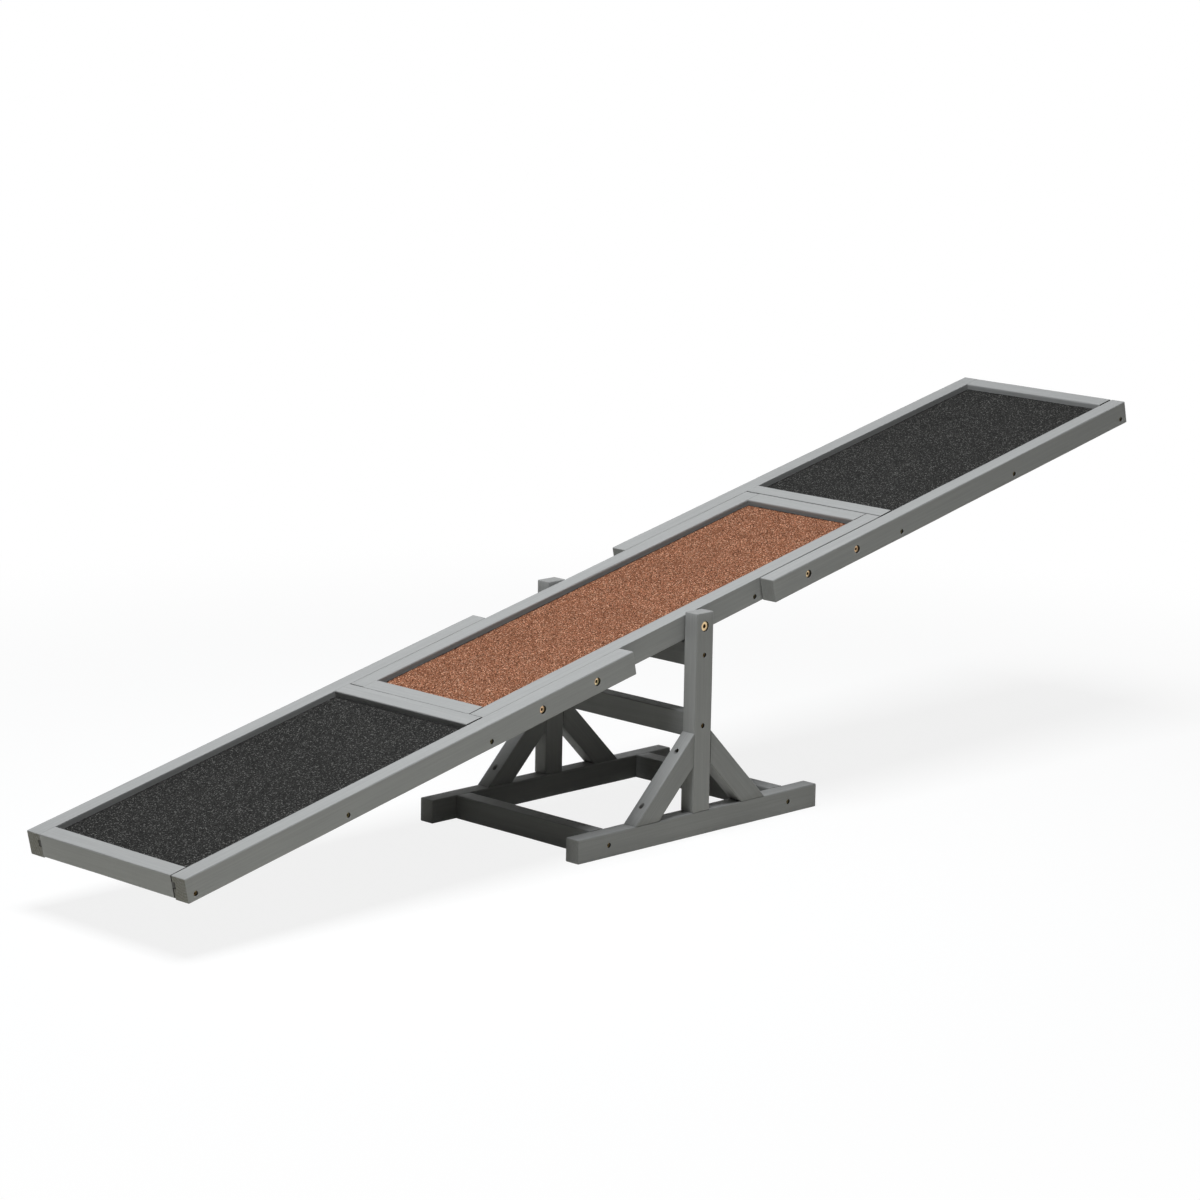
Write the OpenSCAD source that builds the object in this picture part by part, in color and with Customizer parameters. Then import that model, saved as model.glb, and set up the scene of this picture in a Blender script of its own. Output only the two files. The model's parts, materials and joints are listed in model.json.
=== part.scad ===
// Dog agility seesaw: a three-frame plank that tips on two bolts between the posts of a braced base.
// The origin is on the floor under the tilt axis. +X runs along the plank to its raised end,
// +Y to the far side and +Z up. "Low" pieces lie towards -X and "high" pieces towards +X.
// Lengths are in millimetres.

/* [Plank] */
// Length of the plank from end to end
plank_len = 1800; // [1720:5:2000]
// Width of the plank over the outer rails
plank_w = 300; // [260:5:400]
// Height of the side rails
rail_h = 32; // [30:0.5:38]
// Thickness of the side rails
rail_t = 25; // [24:0.5:32]
// Length of the centre frame over its crossbars
centre_len = 767; // [740:1:860]
// How far the tongues of the end frames run along the centre frame
lap = 248.5; // [215:0.5:300]
// Width of a crossbar along the plank
bar_w = 25.5; // [20:0.5:40]
// How far a crossbar stays above the rails' undersides
bar_rise = 1.5; // [0:0.25:3]
// Radius of the eased long edges of the timber
ease_r = 1.5; // [0.5:0.25:3]

/* [Panels] */
// Depth of the grip surface below the rails' tops
grip_drop = 6.3; // [4:0.1:7]
// Thickness of a grip sheet
grip_t = 2; // [1:0.1:3]
// Gap round a grip sheet
grip_gap = 1.5; // [0.5:0.25:5]
// Thickness of a panel board
board_t = 9; // [6:0.5:10]
// Depth of the grooves that hold the boards
groove_d = 5; // [3:0.5:6]
// Height of a batten under a board
batten_h = 12; // [10:0.5:13]
// Width of a batten along the plank
batten_w = 25.5; // [18:0.5:40]
// Distance of the centre frame's battens from the tilt axis
centre_batten_x = 123; // [60:1:180]

/* [Base] */
// Height of the tilt axis above the floor
pivot_z = 281.5; // [260:0.5:320]
// Height of the posts' tops above the tilt axis
post_over = 18.5; // [14:0.5:30]
// Width of a post along the plank
post_w = 32; // [30:1:45]
// Thickness of posts and braces across the plank
post_t = 22; // [20:0.5:30]
// Length of a runner
runner_len = 456; // [420:2:600]
// Height of a runner
runner_h = 32; // [28:1:40]
// Thickness of a runner
runner_t = 23.5; // [20:0.5:30]
// Width of a brace across its narrow faces
brace_w = 32; // [26:1:38]
// Height of a brace above its runner
brace_rise = 108; // [90:1:120]
// Thickness of a ground bar
ground_bar_t = 25; // [20:0.5:35]
// Distance of a ground bar's outer face from the runners' ends
ground_bar_inset = 43.5; // [20:0.5:60]
// Thickness of a crossrail
crossrail_t = 22; // [14:0.5:28]
// Height of a crossrail
crossrail_h = 32; // [26:1:34]
// Height of the middle crossrail's underside above the floor
middle_rail_z = 132; // [120:1:160]
// Drop from the tilt axis to the upper crossrail's top
upper_rail_drop = 22.5; // [22:0.5:30]

/* [Tilt] */
// Angle of the plank as it is stored, raised end up
rest_tilt = 12.6; // [0:0.1:16]
// Play between the pivot washers and the centre rails
pivot_play = 0.5; // [0.3:0.1:1]
// Diameter of a pivot bolt
pivot_d = 8; // [6:0.5:10]
// Diameter of a pivot bolt's head
pivot_head_d = 13; // [12:0.5:16]
// Height of a pivot bolt's head
pivot_head_h = 6; // [4:0.5:8]
// Depth of the recess for a pivot bolt's head
pivot_recess = 8; // [7:0.5:11]
// Diameter of a pivot washer
washer_d = 18; // [16:1:24]
// Thickness of a pivot washer
washer_t = 2; // [1:0.1:3]
// Diameter of a pivot insert
pivot_insert_d = 11; // [10.5:0.5:13]
// Length of a pivot insert
pivot_insert_len = 15; // [10:0.5:16]

/* [Tongue bolts] */
// Distance of the first bolt from the tongue's end
bolt_inset = 69.5; // [30:0.5:90]
// Distance between the two bolts of a tongue
bolt_pitch = 99.5; // [60:0.5:120]
// Diameter of a tongue bolt
bolt_d = 6; // [5:0.5:7]
// Diameter of a tongue bolt's head
bolt_head_d = 10; // [9:0.5:12]
// Height of a tongue bolt's head
bolt_head_h = 4.5; // [4:0.5:7]
// Depth of the recess for a tongue bolt's head
bolt_recess = 7; // [6:0.5:10]
// Diameter of a tongue insert
insert_d = 9; // [8.5:0.5:11]
// Length of a tongue insert
insert_len = 13; // [9:0.5:15]

/* [Screws] */
// Diameter of a wood screw's shank
screw_d = 4; // [3:0.25:4.5]
// Diameter of a wood screw's head
screw_head_d = 6.6; // [5.5:0.1:8]
// Height of a wood screw's head
screw_head_h = 2.4; // [2:0.1:3]
// Depth of the recess for a wood screw's head
screw_recess = 5; // [4:0.5:8]
// Length of a frame screw under its head
screw_len = 40; // [34:1:50]
// Length of a brace screw under its head
brace_screw_len = 28; // [20:1:29]
// Wood between a brace screw's head and the face that it clamps
brace_seat = 14; // [12:0.5:16]
// Distance of the two screws in a post's foot from its middle
foot_screw_x = 8; // [5:0.5:10]

/* [Clearances] */
// Gap between neighbouring frames of the plank
joint_gap = 0.5; // [0.2:0.1:1]
// Gap at a crossbar's shoulders
shoulder_gap = 0.6; // [0.2:0.1:1.2]
// Clearance above and below a board in its groove, and above a tenon
groove_gap = 0.1; // [0.05:0.05:0.3]
// Further clearance below a tenon, which shows as a dark line in the rails' ends
tenon_gap = 0.5; // [0.1:0.1:1]
// Clearance at the bottom of a groove
groove_end_gap = 0.6; // [0.2:0.1:1]
// Radial clearance of a shank or insert in its bore
bore_gap = 0.05; // [0.02:0.01:0.1]
// Radial clearance of a head in its recess
head_gap = 0.5; // [0.2:0.1:1]
// Gap under a pivot bolt's head, which turns on the post
head_play = 0.3; // [0.2:0.1:0.6]

/* [Hidden] */

// Sides of the plank and of the base: -1 is the near or low side, 1 the far or high side
NEAR = -1;
FAR = 1;
LOW = -1;
HIGH = 1;
SIDES = [-1, 1];

// Sides of a circle, and how far a cut runs past the wood that it opens
round_fn = 32;
past = 1;

// Across the plank: the outer frames' inner faces, and the centre frame's outer and inner faces
end_in_y = plank_w / 2 - rail_t;
centre_out_y = end_in_y - joint_gap;
centre_in_y = centre_out_y - rail_t;

// Along the plank: the tongue's end, the frames' meeting faces and the panel openings
plank_end_x = plank_len / 2;
centre_end_x = centre_len / 2;
tongue_x = centre_end_x - lap;
centre_open_x = centre_end_x - bar_w;
inner_bar_x = centre_end_x + joint_gap;
end_open_x1 = inner_bar_x + bar_w;
end_open_x2 = plank_end_x - bar_w;
end_batten_x = (end_open_x1 + end_open_x2) / 2;
bolt_xs = [tongue_x + bolt_inset, tongue_x + bolt_inset + bolt_pitch];

// Heights in the plank, measured from the tilt axis at the rails' mid-height
rail_top = rail_h / 2;
grip_top = rail_top - grip_drop;
board_top = grip_top - grip_t;
board_bottom = board_top - board_t;
bar_bottom = -rail_h / 2 + bar_rise;
plank_screw_z = board_bottom - batten_h / 2;
tongue_d = groove_d - groove_end_gap;

// Across the base: the inner and outer faces of the posts, and the runners' inner faces
post_in_y = centre_out_y + pivot_play + washer_t;
post_out_y = post_in_y + post_t;
post_mid_y = (post_in_y + post_out_y) / 2;
runner_in_y = post_out_y - runner_t;
post_top_z = pivot_z + post_over;

// Braces stand at 45 degrees, so their end faces are longer than their width
brace_face = brace_w * sqrt(2);
brace_out_x = post_w / 2 + brace_rise;
brace_screw_z = runner_h + brace_rise - brace_face / 2;
brace_screw_x = brace_out_x - brace_face / 2;
ground_bar_x = runner_len / 2 - ground_bar_inset - ground_bar_t / 2;
upper_rail_z = pivot_z - upper_rail_drop - crossrail_h;

// Cross slots and hexagon sockets in the heads
slot_w = 0.9;
slot_share = 0.6;
slot_depth = 1.2;
socket_share = 0.5;
bolt_socket_depth = 3;
hexagon_fn = 6;

paint = [0.47, 0.47, 0.46];
paint_shade = [0.42, 0.42, 0.41];
ply = [0.55, 0.45, 0.33];
charcoal = [0.16, 0.16, 0.16];
terracotta = [0.62, 0.40, 0.30];
steel = [0.62, 0.62, 0.60];
brass = [0.78, 0.62, 0.32];

// Rectangle with rounded corners, centred
module eased_section(w, h) {
    square([w - 2 * ease_r, h], center = true);
    square([w, h - 2 * ease_r], center = true);
    for (sx = SIDES, sy = SIDES)
        translate([sx * (w / 2 - ease_r), sy * (h / 2 - ease_r)]) circle(ease_r, $fn = round_fn);
}

// Timber along X from x1 to x2, centred on y = 0 and z = 0
module timber_x(x1, x2, thick, tall) {
    translate([x1, 0, 0]) rotate([90, 0, 90]) linear_extrude(x2 - x1) eased_section(thick, tall);
}

// Timber along Y, centred
module timber_y(len, thick, tall) {
    translate([0, len / 2, 0]) rotate([90, 0, 0]) linear_extrude(len) eased_section(thick, tall);
}

// Box from one corner to the other
module block(low, high) {
    translate(low) cube(high - low);
}

// Puts what is drawn round the tilt axis in its place at the rest tilt
module on_plank() {
    translate([0, 0, pivot_z]) rotate([0, -rest_tilt, 0]) children();
}

// Turns a fastener drawn along -Z, head up, to lie along Y with its head on the given side
module across(side) {
    rotate([-90 * side, 0, 0]) children();
}

// Wood screw with its head's underside at z = 0, and a cross slot in the head
module screw(len) {
    translate([0, 0, -len]) cylinder(d = screw_d, h = len, $fn = round_fn);
    difference() {
        cylinder(d = screw_head_d, h = screw_head_h, $fn = round_fn);
        for (a = [0, 90]) rotate([0, 0, a])
            translate([-screw_head_d * slot_share / 2, -slot_w / 2, screw_head_h - slot_depth])
                cube([screw_head_d * slot_share, slot_w, slot_depth + past]);
    }
}

// What a screw needs cut away: its shank's bore and a recess that runs out past the surface
module screw_cut(len, recess) {
    translate([0, 0, -len - bore_gap]) cylinder(d = screw_d + 2 * bore_gap, h = len + past, $fn = round_fn);
    cylinder(d = screw_head_d + 2 * bore_gap, h = recess + past, $fn = round_fn);
}

// Bolt with a hexagon socket, with its head's underside at z = 0
module bolt(len, d, head_d, head_h) {
    translate([0, 0, -len]) cylinder(d = d, h = len, $fn = round_fn);
    difference() {
        cylinder(d = head_d, h = head_h, $fn = round_fn);
        translate([0, 0, head_h - bolt_socket_depth])
            cylinder(d = head_d * socket_share / cos(30), h = bolt_socket_depth + past, $fn = hexagon_fn);
    }
}

// Recess and clearance bore of a bolt, cut right through what it passes
module bolt_cut(len, d, head_d, recess) {
    translate([0, 0, -len]) cylinder(d = d + 2 * bore_gap, h = len + past, $fn = round_fn);
    cylinder(d = head_d + 2 * head_gap, h = recess + past, $fn = round_fn);
}

// Threaded insert, set flush with z = 0 and reaching down
module insert(len, d, bore_d) {
    translate([0, 0, -len]) difference() {
        cylinder(d = d, h = len, $fn = round_fn);
        translate([0, 0, -past])
            cylinder(d = bore_d + 2 * bore_gap, h = len + 2 * past, $fn = round_fn);
    }
}

// Blind bore for an insert, open at z = 0
module insert_cut(len, d) {
    translate([0, 0, -len - bore_gap]) cylinder(d = d + 2 * bore_gap, h = len + past, $fn = round_fn);
}

// Places of the screws through the side rails of an end frame and of the centre frame
end_screw_xs = [end_open_x2 + bar_w / 2, end_batten_x, inner_bar_x + bar_w / 2];
centre_screw_xs = [centre_batten_x, centre_end_x - bar_w / 2];

// Puts a fastener, or its cut, at each screw place of an end frame's rail
module at_end_screws(end, side) {
    for (x = end_screw_xs)
        translate([end * x, side * (plank_w / 2 - screw_recess), plank_screw_z]) across(side) children();
}

// The same for one rail of the centre frame
module at_centre_screws(side) {
    for (end = SIDES, x = centre_screw_xs)
        translate([end * x, side * (centre_out_y - screw_recess), plank_screw_z]) across(side) children();
}

// Places of the tongue bolts at a given distance from the plank's middle plane
module at_tongue_bolts(end, side, y) {
    for (x = bolt_xs) translate([end * x, side * y, 0]) across(side) children();
}

// Place of a pivot bolt, round the tilt axis
module at_pivot(side, y) {
    translate([0, side * y, 0]) across(side) children();
}

// Groove for a board, cut into the face at y = inner on the given side, from x1 to x2
module rail_groove(x1, x2, inner, side) {
    y1 = side * (inner - past);
    y2 = side * (inner + groove_d);
    block([x1 - past, min(y1, y2), board_bottom - groove_gap],
          [x2 + past, max(y1, y2), board_top + groove_gap]);
}

// Side rail of an end frame, with its screw and bolt bores. Its groove starts at the inner bar,
// so that the tongue beyond it stays whole
module end_rail(end, side) {
    x1 = min(end * tongue_x, end * plank_end_x);
    x2 = max(end * tongue_x, end * plank_end_x);
    groove_x1 = min(end * inner_bar_x, end * plank_end_x);
    groove_x2 = max(end * inner_bar_x, end * plank_end_x);
    color(paint) on_plank() difference() {
        translate([0, side * (plank_w - rail_t) / 2, 0]) timber_x(x1, x2, rail_t, rail_h);
        rail_groove(groove_x1, groove_x2, end_in_y, side);
        at_end_screws(end, side) screw_cut(screw_len, screw_recess);
        at_tongue_bolts(end, side, plank_w / 2 - bolt_recess)
            bolt_cut(rail_t, bolt_d, bolt_head_d, bolt_recess);
    }
}

// Side rail of the centre frame, with its groove, screw bores and insert bores
module centre_rail(side) {
    color(paint) on_plank() difference() {
        translate([0, side * (centre_out_y + centre_in_y) / 2, 0])
            timber_x(-centre_end_x, centre_end_x, rail_t, rail_h);
        rail_groove(-centre_end_x, centre_end_x, centre_in_y, side);
        at_centre_screws(side) screw_cut(screw_len, screw_recess);
        for (end = SIDES) at_tongue_bolts(end, side, centre_out_y) insert_cut(insert_len, insert_d);
        at_pivot(side, centre_out_y) insert_cut(pivot_insert_len, pivot_insert_d);
    }
}

// Crossbar with stub tenons that fill the rails' grooves, and a groove on the panel's side.
// It spans the given distance to each side, with its outer face at x and its panel towards dir
module crossbar(x, dir, half) {
    mid_x = x + dir * bar_w / 2;
    body_y = half - shoulder_gap;
    tenon_y = half + tongue_d;
    tenon_x1 = min(x, x + dir * bar_w);
    groove_x = x + dir * (bar_w - groove_d);
    groove_end = x + dir * (bar_w + past);
    difference() {
        union() {
            translate([mid_x, 0, (rail_top + bar_bottom) / 2])
                timber_y(2 * body_y, bar_w, rail_top - bar_bottom);
            block([tenon_x1, -tenon_y, board_bottom + tenon_gap], [tenon_x1 + bar_w, tenon_y, board_top]);
        }
        block([min(groove_x, groove_end), -tenon_y - past, board_bottom - groove_gap],
              [max(groove_x, groove_end), tenon_y + past, board_top + groove_gap]);
    }
}

// Crossbar at the plank's end
module end_bar(end) {
    color(paint) on_plank() difference() {
        crossbar(end * plank_end_x, -end, end_in_y);
        for (side = SIDES) at_end_screws(end, side) screw_cut(screw_len, screw_recess);
    }
}

// Crossbar of an end frame where it meets the centre frame
module inner_bar(end) {
    color(paint) on_plank() difference() {
        crossbar(end * inner_bar_x, end, end_in_y);
        for (side = SIDES) at_end_screws(end, side) screw_cut(screw_len, screw_recess);
    }
}

// Crossbar of the centre frame
module centre_bar(end) {
    color(paint) on_plank() difference() {
        crossbar(end * centre_end_x, -end, centre_in_y);
        for (side = SIDES) at_centre_screws(side) screw_cut(screw_len, screw_recess);
    }
}

// Batten under a board, at x and between faces at the given distance
module batten(x, half) {
    y = half - shoulder_gap;
    block([x - batten_w / 2, -y, board_bottom - batten_h], [x + batten_w / 2, y, board_bottom]);
}

module end_batten(end) {
    color(paint_shade) on_plank() difference() {
        batten(end * end_batten_x, end_in_y);
        for (side = SIDES) at_end_screws(end, side) screw_cut(screw_len, screw_recess);
    }
}

module centre_batten(end) {
    color(paint_shade) on_plank() difference() {
        batten(end * centre_batten_x, centre_in_y);
        for (side = SIDES) at_centre_screws(side) screw_cut(screw_len, screw_recess);
    }
}

// Board from x1 to x2 of an opening, reaching into the grooves all round
module board(x1, x2, half) {
    color(ply) on_plank()
        block([x1 - tongue_d, -half - tongue_d, board_bottom], [x2 + tongue_d, half + tongue_d, board_top]);
}

// Grip sheet glued on a board, inside the opening
module grip_sheet(x1, x2, half, tint) {
    color(tint) on_plank()
        block([x1 + grip_gap, -half + grip_gap, board_top], [x2 - grip_gap, half - grip_gap, grip_top]);
}

module end_board(end) {
    if (end == HIGH) board(end_open_x1, end_open_x2, end_in_y);
    else board(-end_open_x2, -end_open_x1, end_in_y);
}

module end_grip(end) {
    if (end == HIGH) grip_sheet(end_open_x1, end_open_x2, end_in_y, charcoal);
    else grip_sheet(-end_open_x2, -end_open_x1, end_in_y, charcoal);
}

module end_screws(end) {
    color(steel) on_plank()
        for (side = SIDES) at_end_screws(end, side) screw(screw_len);
}

module centre_screws() {
    color(steel) on_plank()
        for (side = SIDES) at_centre_screws(side) screw(screw_len);
}

// Bolts through the tongues into the inserts in the centre rails
module tongue_bolts() {
    len = rail_t - bolt_recess + joint_gap + insert_len;
    color(brass) on_plank()
        for (end = SIDES, side = SIDES) at_tongue_bolts(end, side, plank_w / 2 - bolt_recess)
            bolt(len, bolt_d, bolt_head_d, bolt_head_h);
}

module tongue_inserts() {
    color(brass) on_plank()
        for (end = SIDES, side = SIDES) at_tongue_bolts(end, side, centre_out_y)
            insert(insert_len, insert_d, bolt_d);
}

// Pivot bolts, fixed in the centre rails and turning in the posts
module pivot_bolts() {
    seat_y = post_out_y - pivot_recess + head_play;
    color(brass) on_plank()
        for (side = SIDES) at_pivot(side, seat_y)
            bolt(seat_y - centre_out_y + pivot_insert_len, pivot_d, pivot_head_d, pivot_head_h);
}

module pivot_inserts() {
    color(brass) on_plank()
        for (side = SIDES) at_pivot(side, centre_out_y)
            insert(pivot_insert_len, pivot_insert_d, pivot_d);
}

// Washers on the pivot bolts, against the posts' inner faces
module pivot_washers() {
    color(steel) translate([0, 0, pivot_z])
        for (side = SIDES) at_pivot(side, post_in_y) insert(washer_t, washer_d, pivot_d);
}

// Places of the screws through the posts into the crossrails
module at_crossrail_screws(side) {
    for (z = [middle_rail_z + crossrail_h / 2, upper_rail_z + crossrail_h / 2])
        translate([0, side * (post_out_y - screw_recess), z]) across(side) children();
}

// Places of the screws through the runners into the ground bars
module at_ground_bar_screws(side) {
    for (end = SIDES)
        translate([end * ground_bar_x, side * (post_out_y - screw_recess), runner_h / 2])
            across(side) children();
}

// Places of the screws up through a runner into its post, heads down
module at_foot_screws(side) {
    for (end = SIDES)
        translate([end * foot_screw_x, side * post_mid_y, screw_recess]) rotate([180, 0, 0]) children();
}

// Places of the two screws of a brace: level into the post, and upright into the runner
module at_brace_screws(end, side) {
    translate([end * (post_w / 2 + brace_seat), side * post_mid_y, brace_screw_z])
        rotate([0, 90 * end, 0]) children();
    translate([end * brace_screw_x, side * post_mid_y, runner_h + brace_seat]) children();
}

// Post with the running bore of its pivot bolt
module post(side) {
    color(paint) difference() {
        translate([0, side * post_mid_y, runner_h])
            linear_extrude(post_top_z - runner_h) eased_section(post_w, post_t);
        translate([0, 0, pivot_z]) at_pivot(side, post_out_y - pivot_recess)
            bolt_cut(post_t, pivot_d, pivot_head_d, pivot_recess);
        at_crossrail_screws(side) screw_cut(screw_len, screw_recess);
        at_foot_screws(side) screw_cut(screw_len, screw_recess);
        for (end = SIDES) at_brace_screws(end, side) screw_cut(brace_screw_len, brace_w);
    }
}

// Runner on the floor, which carries a post and two braces
module runner(side) {
    color(paint) difference() {
        translate([0, side * (post_out_y - runner_t / 2), runner_h / 2])
            timber_x(-runner_len / 2, runner_len / 2, runner_t, runner_h);
        at_ground_bar_screws(side) screw_cut(screw_len, screw_recess);
        at_foot_screws(side) screw_cut(screw_len, screw_recess);
        for (end = SIDES) at_brace_screws(end, side) screw_cut(brace_screw_len, brace_w);
    }
}

// Brace at 45 degrees from the runner's top to the post's edge, cut flat on both
module brace(end, side) {
    reach = 2 * brace_out_x;
    color(paint) difference() {
        intersection() {
            translate([end * (brace_out_x - brace_face / 2), side * post_mid_y, runner_h])
                rotate([0, 45 * end, 0]) timber_x(-reach, reach, post_t, brace_w);
            block([min(end * post_w / 2, end * reach), -plank_w, runner_h],
                  [max(end * post_w / 2, end * reach), plank_w, runner_h + reach]);
        }
        at_brace_screws(end, side) screw_cut(brace_screw_len, brace_w);
    }
}

// Bar between the runners
module ground_bar(end) {
    color(paint_shade) difference() {
        translate([end * ground_bar_x, 0, runner_h / 2])
            timber_y(2 * runner_in_y, ground_bar_t, runner_h);
        for (side = SIDES) at_ground_bar_screws(side) screw_cut(screw_len, screw_recess);
    }
}

// Rail between the posts, with its underside at z
module crossrail(z) {
    color(paint_shade) difference() {
        translate([0, 0, z + crossrail_h / 2]) timber_y(2 * post_in_y, crossrail_t, crossrail_h);
        for (side = SIDES) at_crossrail_screws(side) screw_cut(screw_len, screw_recess);
    }
}

module ground_bar_screws() {
    color(steel) for (side = SIDES) at_ground_bar_screws(side) screw(screw_len);
}

module crossrail_screws() {
    color(steel) for (side = SIDES) at_crossrail_screws(side) screw(screw_len);
}

module post_foot_screws() {
    color(steel) for (side = SIDES) at_foot_screws(side) screw(screw_len);
}

module brace_screws() {
    color(steel) for (end = SIDES, side = SIDES) at_brace_screws(end, side) screw(brace_screw_len);
}

post(NEAR);  // near_post
post(FAR);  // far_post
runner(NEAR);  // near_runner
runner(FAR);  // far_runner
brace(LOW, NEAR);  // near_low_brace
brace(HIGH, NEAR);  // near_high_brace
brace(LOW, FAR);  // far_low_brace
brace(HIGH, FAR);  // far_high_brace
ground_bar(LOW);  // low_ground_bar
ground_bar(HIGH);  // high_ground_bar
crossrail(middle_rail_z);  // middle_crossrail
crossrail(upper_rail_z);  // upper_crossrail
ground_bar_screws();
crossrail_screws();
post_foot_screws();
brace_screws();
pivot_washers();
end_rail(LOW, NEAR);  // low_near_rail
end_rail(LOW, FAR);  // low_far_rail
end_bar(LOW);  // low_end_bar
inner_bar(LOW);  // low_inner_bar
end_batten(LOW);  // low_batten
end_board(LOW);  // low_board
end_grip(LOW);  // low_grip_sheet
end_rail(HIGH, NEAR);  // high_near_rail
end_rail(HIGH, FAR);  // high_far_rail
end_bar(HIGH);  // high_end_bar
inner_bar(HIGH);  // high_inner_bar
end_batten(HIGH);  // high_batten
end_board(HIGH);  // high_board
end_grip(HIGH);  // high_grip_sheet
centre_rail(NEAR);  // centre_near_rail
centre_rail(FAR);  // centre_far_rail
centre_bar(LOW);  // centre_low_bar
centre_bar(HIGH);  // centre_high_bar
centre_batten(LOW);  // centre_low_batten
centre_batten(HIGH);  // centre_high_batten
board(-centre_open_x, centre_open_x, centre_in_y);  // centre_board
grip_sheet(-centre_open_x, centre_open_x, centre_in_y, terracotta);  // centre_grip_sheet
end_screws(LOW);  // low_frame_screws
end_screws(HIGH);  // high_frame_screws
centre_screws();  // centre_frame_screws
tongue_bolts();
tongue_inserts();
pivot_bolts();
pivot_inserts();
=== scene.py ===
# %% [markdown]
# # A dog agility seesaw, finished in cells
# The seesaw is a plank in three framed sections that tips between two braced posts. Its sizes, joints and
# bodies come packed in a fixed frame, so this lesson never moves a part: it reads where each part is, makes
# a better surface in the same place and lets it ride on the same body. We load the frame first.

# %% Load the frame
import json
import math

import bpy
import numpy as np
from mathutils import Matrix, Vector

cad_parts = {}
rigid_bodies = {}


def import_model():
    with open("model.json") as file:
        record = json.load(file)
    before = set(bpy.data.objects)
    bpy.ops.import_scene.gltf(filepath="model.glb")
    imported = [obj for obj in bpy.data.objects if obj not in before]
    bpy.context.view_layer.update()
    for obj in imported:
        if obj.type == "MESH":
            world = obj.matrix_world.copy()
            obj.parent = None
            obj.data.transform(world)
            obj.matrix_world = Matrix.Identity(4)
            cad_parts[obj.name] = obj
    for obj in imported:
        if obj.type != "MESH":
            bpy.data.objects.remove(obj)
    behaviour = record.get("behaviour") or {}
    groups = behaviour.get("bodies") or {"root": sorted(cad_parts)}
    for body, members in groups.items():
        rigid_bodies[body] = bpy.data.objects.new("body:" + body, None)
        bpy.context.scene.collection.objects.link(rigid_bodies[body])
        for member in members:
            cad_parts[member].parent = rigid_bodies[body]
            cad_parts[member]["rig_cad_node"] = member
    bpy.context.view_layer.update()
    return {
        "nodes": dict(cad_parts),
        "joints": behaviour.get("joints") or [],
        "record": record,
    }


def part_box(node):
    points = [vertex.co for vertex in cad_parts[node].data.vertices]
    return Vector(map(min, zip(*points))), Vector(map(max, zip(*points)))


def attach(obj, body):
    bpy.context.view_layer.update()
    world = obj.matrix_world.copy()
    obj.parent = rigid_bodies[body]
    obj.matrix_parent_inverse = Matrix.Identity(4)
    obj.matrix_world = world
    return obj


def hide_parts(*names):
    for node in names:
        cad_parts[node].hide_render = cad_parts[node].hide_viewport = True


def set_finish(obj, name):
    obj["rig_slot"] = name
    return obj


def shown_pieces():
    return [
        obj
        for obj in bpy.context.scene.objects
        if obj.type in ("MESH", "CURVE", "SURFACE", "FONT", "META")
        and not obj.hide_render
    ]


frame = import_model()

MM = 0.001

BODY_OF = {node: body for body, nodes in frame["record"]["behaviour"]["bodies"].items() for node in nodes}

# %% [markdown]
# ## Two frames of reference
# The base stands square to the room, but the plank rests tilted, and a tilted board is awkward to measure.
# So every timber is worked out square, in the frame of the body that it belongs to, and turned at the very
# end. The plank's frame has its origin on the tilt axis and its first axis along the plank.

# %% Frames of the two bodies
REST_TILT = math.radians(12.6)
TILT_AXIS = np.array(frame["joints"][0]["pos_m"])
COS_TILT, SIN_TILT = math.cos(REST_TILT), math.sin(REST_TILT)
PLANK_TURN = np.array([[COS_TILT, 0, -SIN_TILT], [0, 1, 0], [SIN_TILT, 0, COS_TILT]])


def body_frame(node):
    """The turn and the origin of a node's square frame: world = own @ turn.T + origin."""
    return (PLANK_TURN, TILT_AXIS) if BODY_OF[node] == "plank" else (np.eye(3), np.zeros(3))


def packed_mesh(node):
    """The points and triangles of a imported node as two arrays, in the world."""
    mesh = frame["nodes"][node].data
    points = np.empty(len(mesh.vertices) * 3, np.float32)
    corners = np.empty(len(mesh.loops), np.int32)
    mesh.vertices.foreach_get("co", points)
    mesh.loops.foreach_get("vertex_index", corners)
    return points.reshape(-1, 3).astype(float), corners.reshape(-1, 3)


def own_box(node):
    """Lowest and highest corner of a node in its own square frame."""
    turn, origin = body_frame(node)
    own = (packed_mesh(node)[0] - origin) @ turn
    return own.min(axis=0), own.max(axis=0)


rail_low, rail_high = own_box("centre_near_rail")
print("centre rail, mm:", ((rail_high - rail_low) / MM).round(2))

# %% [markdown]
# ## From rings of points to a closed piece
# Nearly everything here is a bar or a turned part: an outline carried along a line. Such a shape is a grid
# of points, one row for each ring, so the whole surface is one array. This helper joins ring to ring,
# closes both ends and hands the arrays to the mesh at once. Several grids can share a piece, as six screws
# do.

# %% Grids to meshes
SMOOTH_ANGLE = math.radians(32)


def shade(mesh):
    """Smooth shading, apart from edges that turn by more than the smooth angle."""
    mesh.shade_smooth()
    mesh.set_sharp_from_angle(angle=SMOOTH_ANGLE)


def new_piece(name, points, faces):
    """An object at the origin with these points and faces, shaded and linked to the scene."""
    mesh = bpy.data.meshes.new(name)
    mesh.from_pydata(points, [], faces)
    mesh.validate()
    shade(mesh)
    piece = bpy.data.objects.new(name, mesh)
    bpy.context.scene.collection.objects.link(piece)
    return piece


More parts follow.
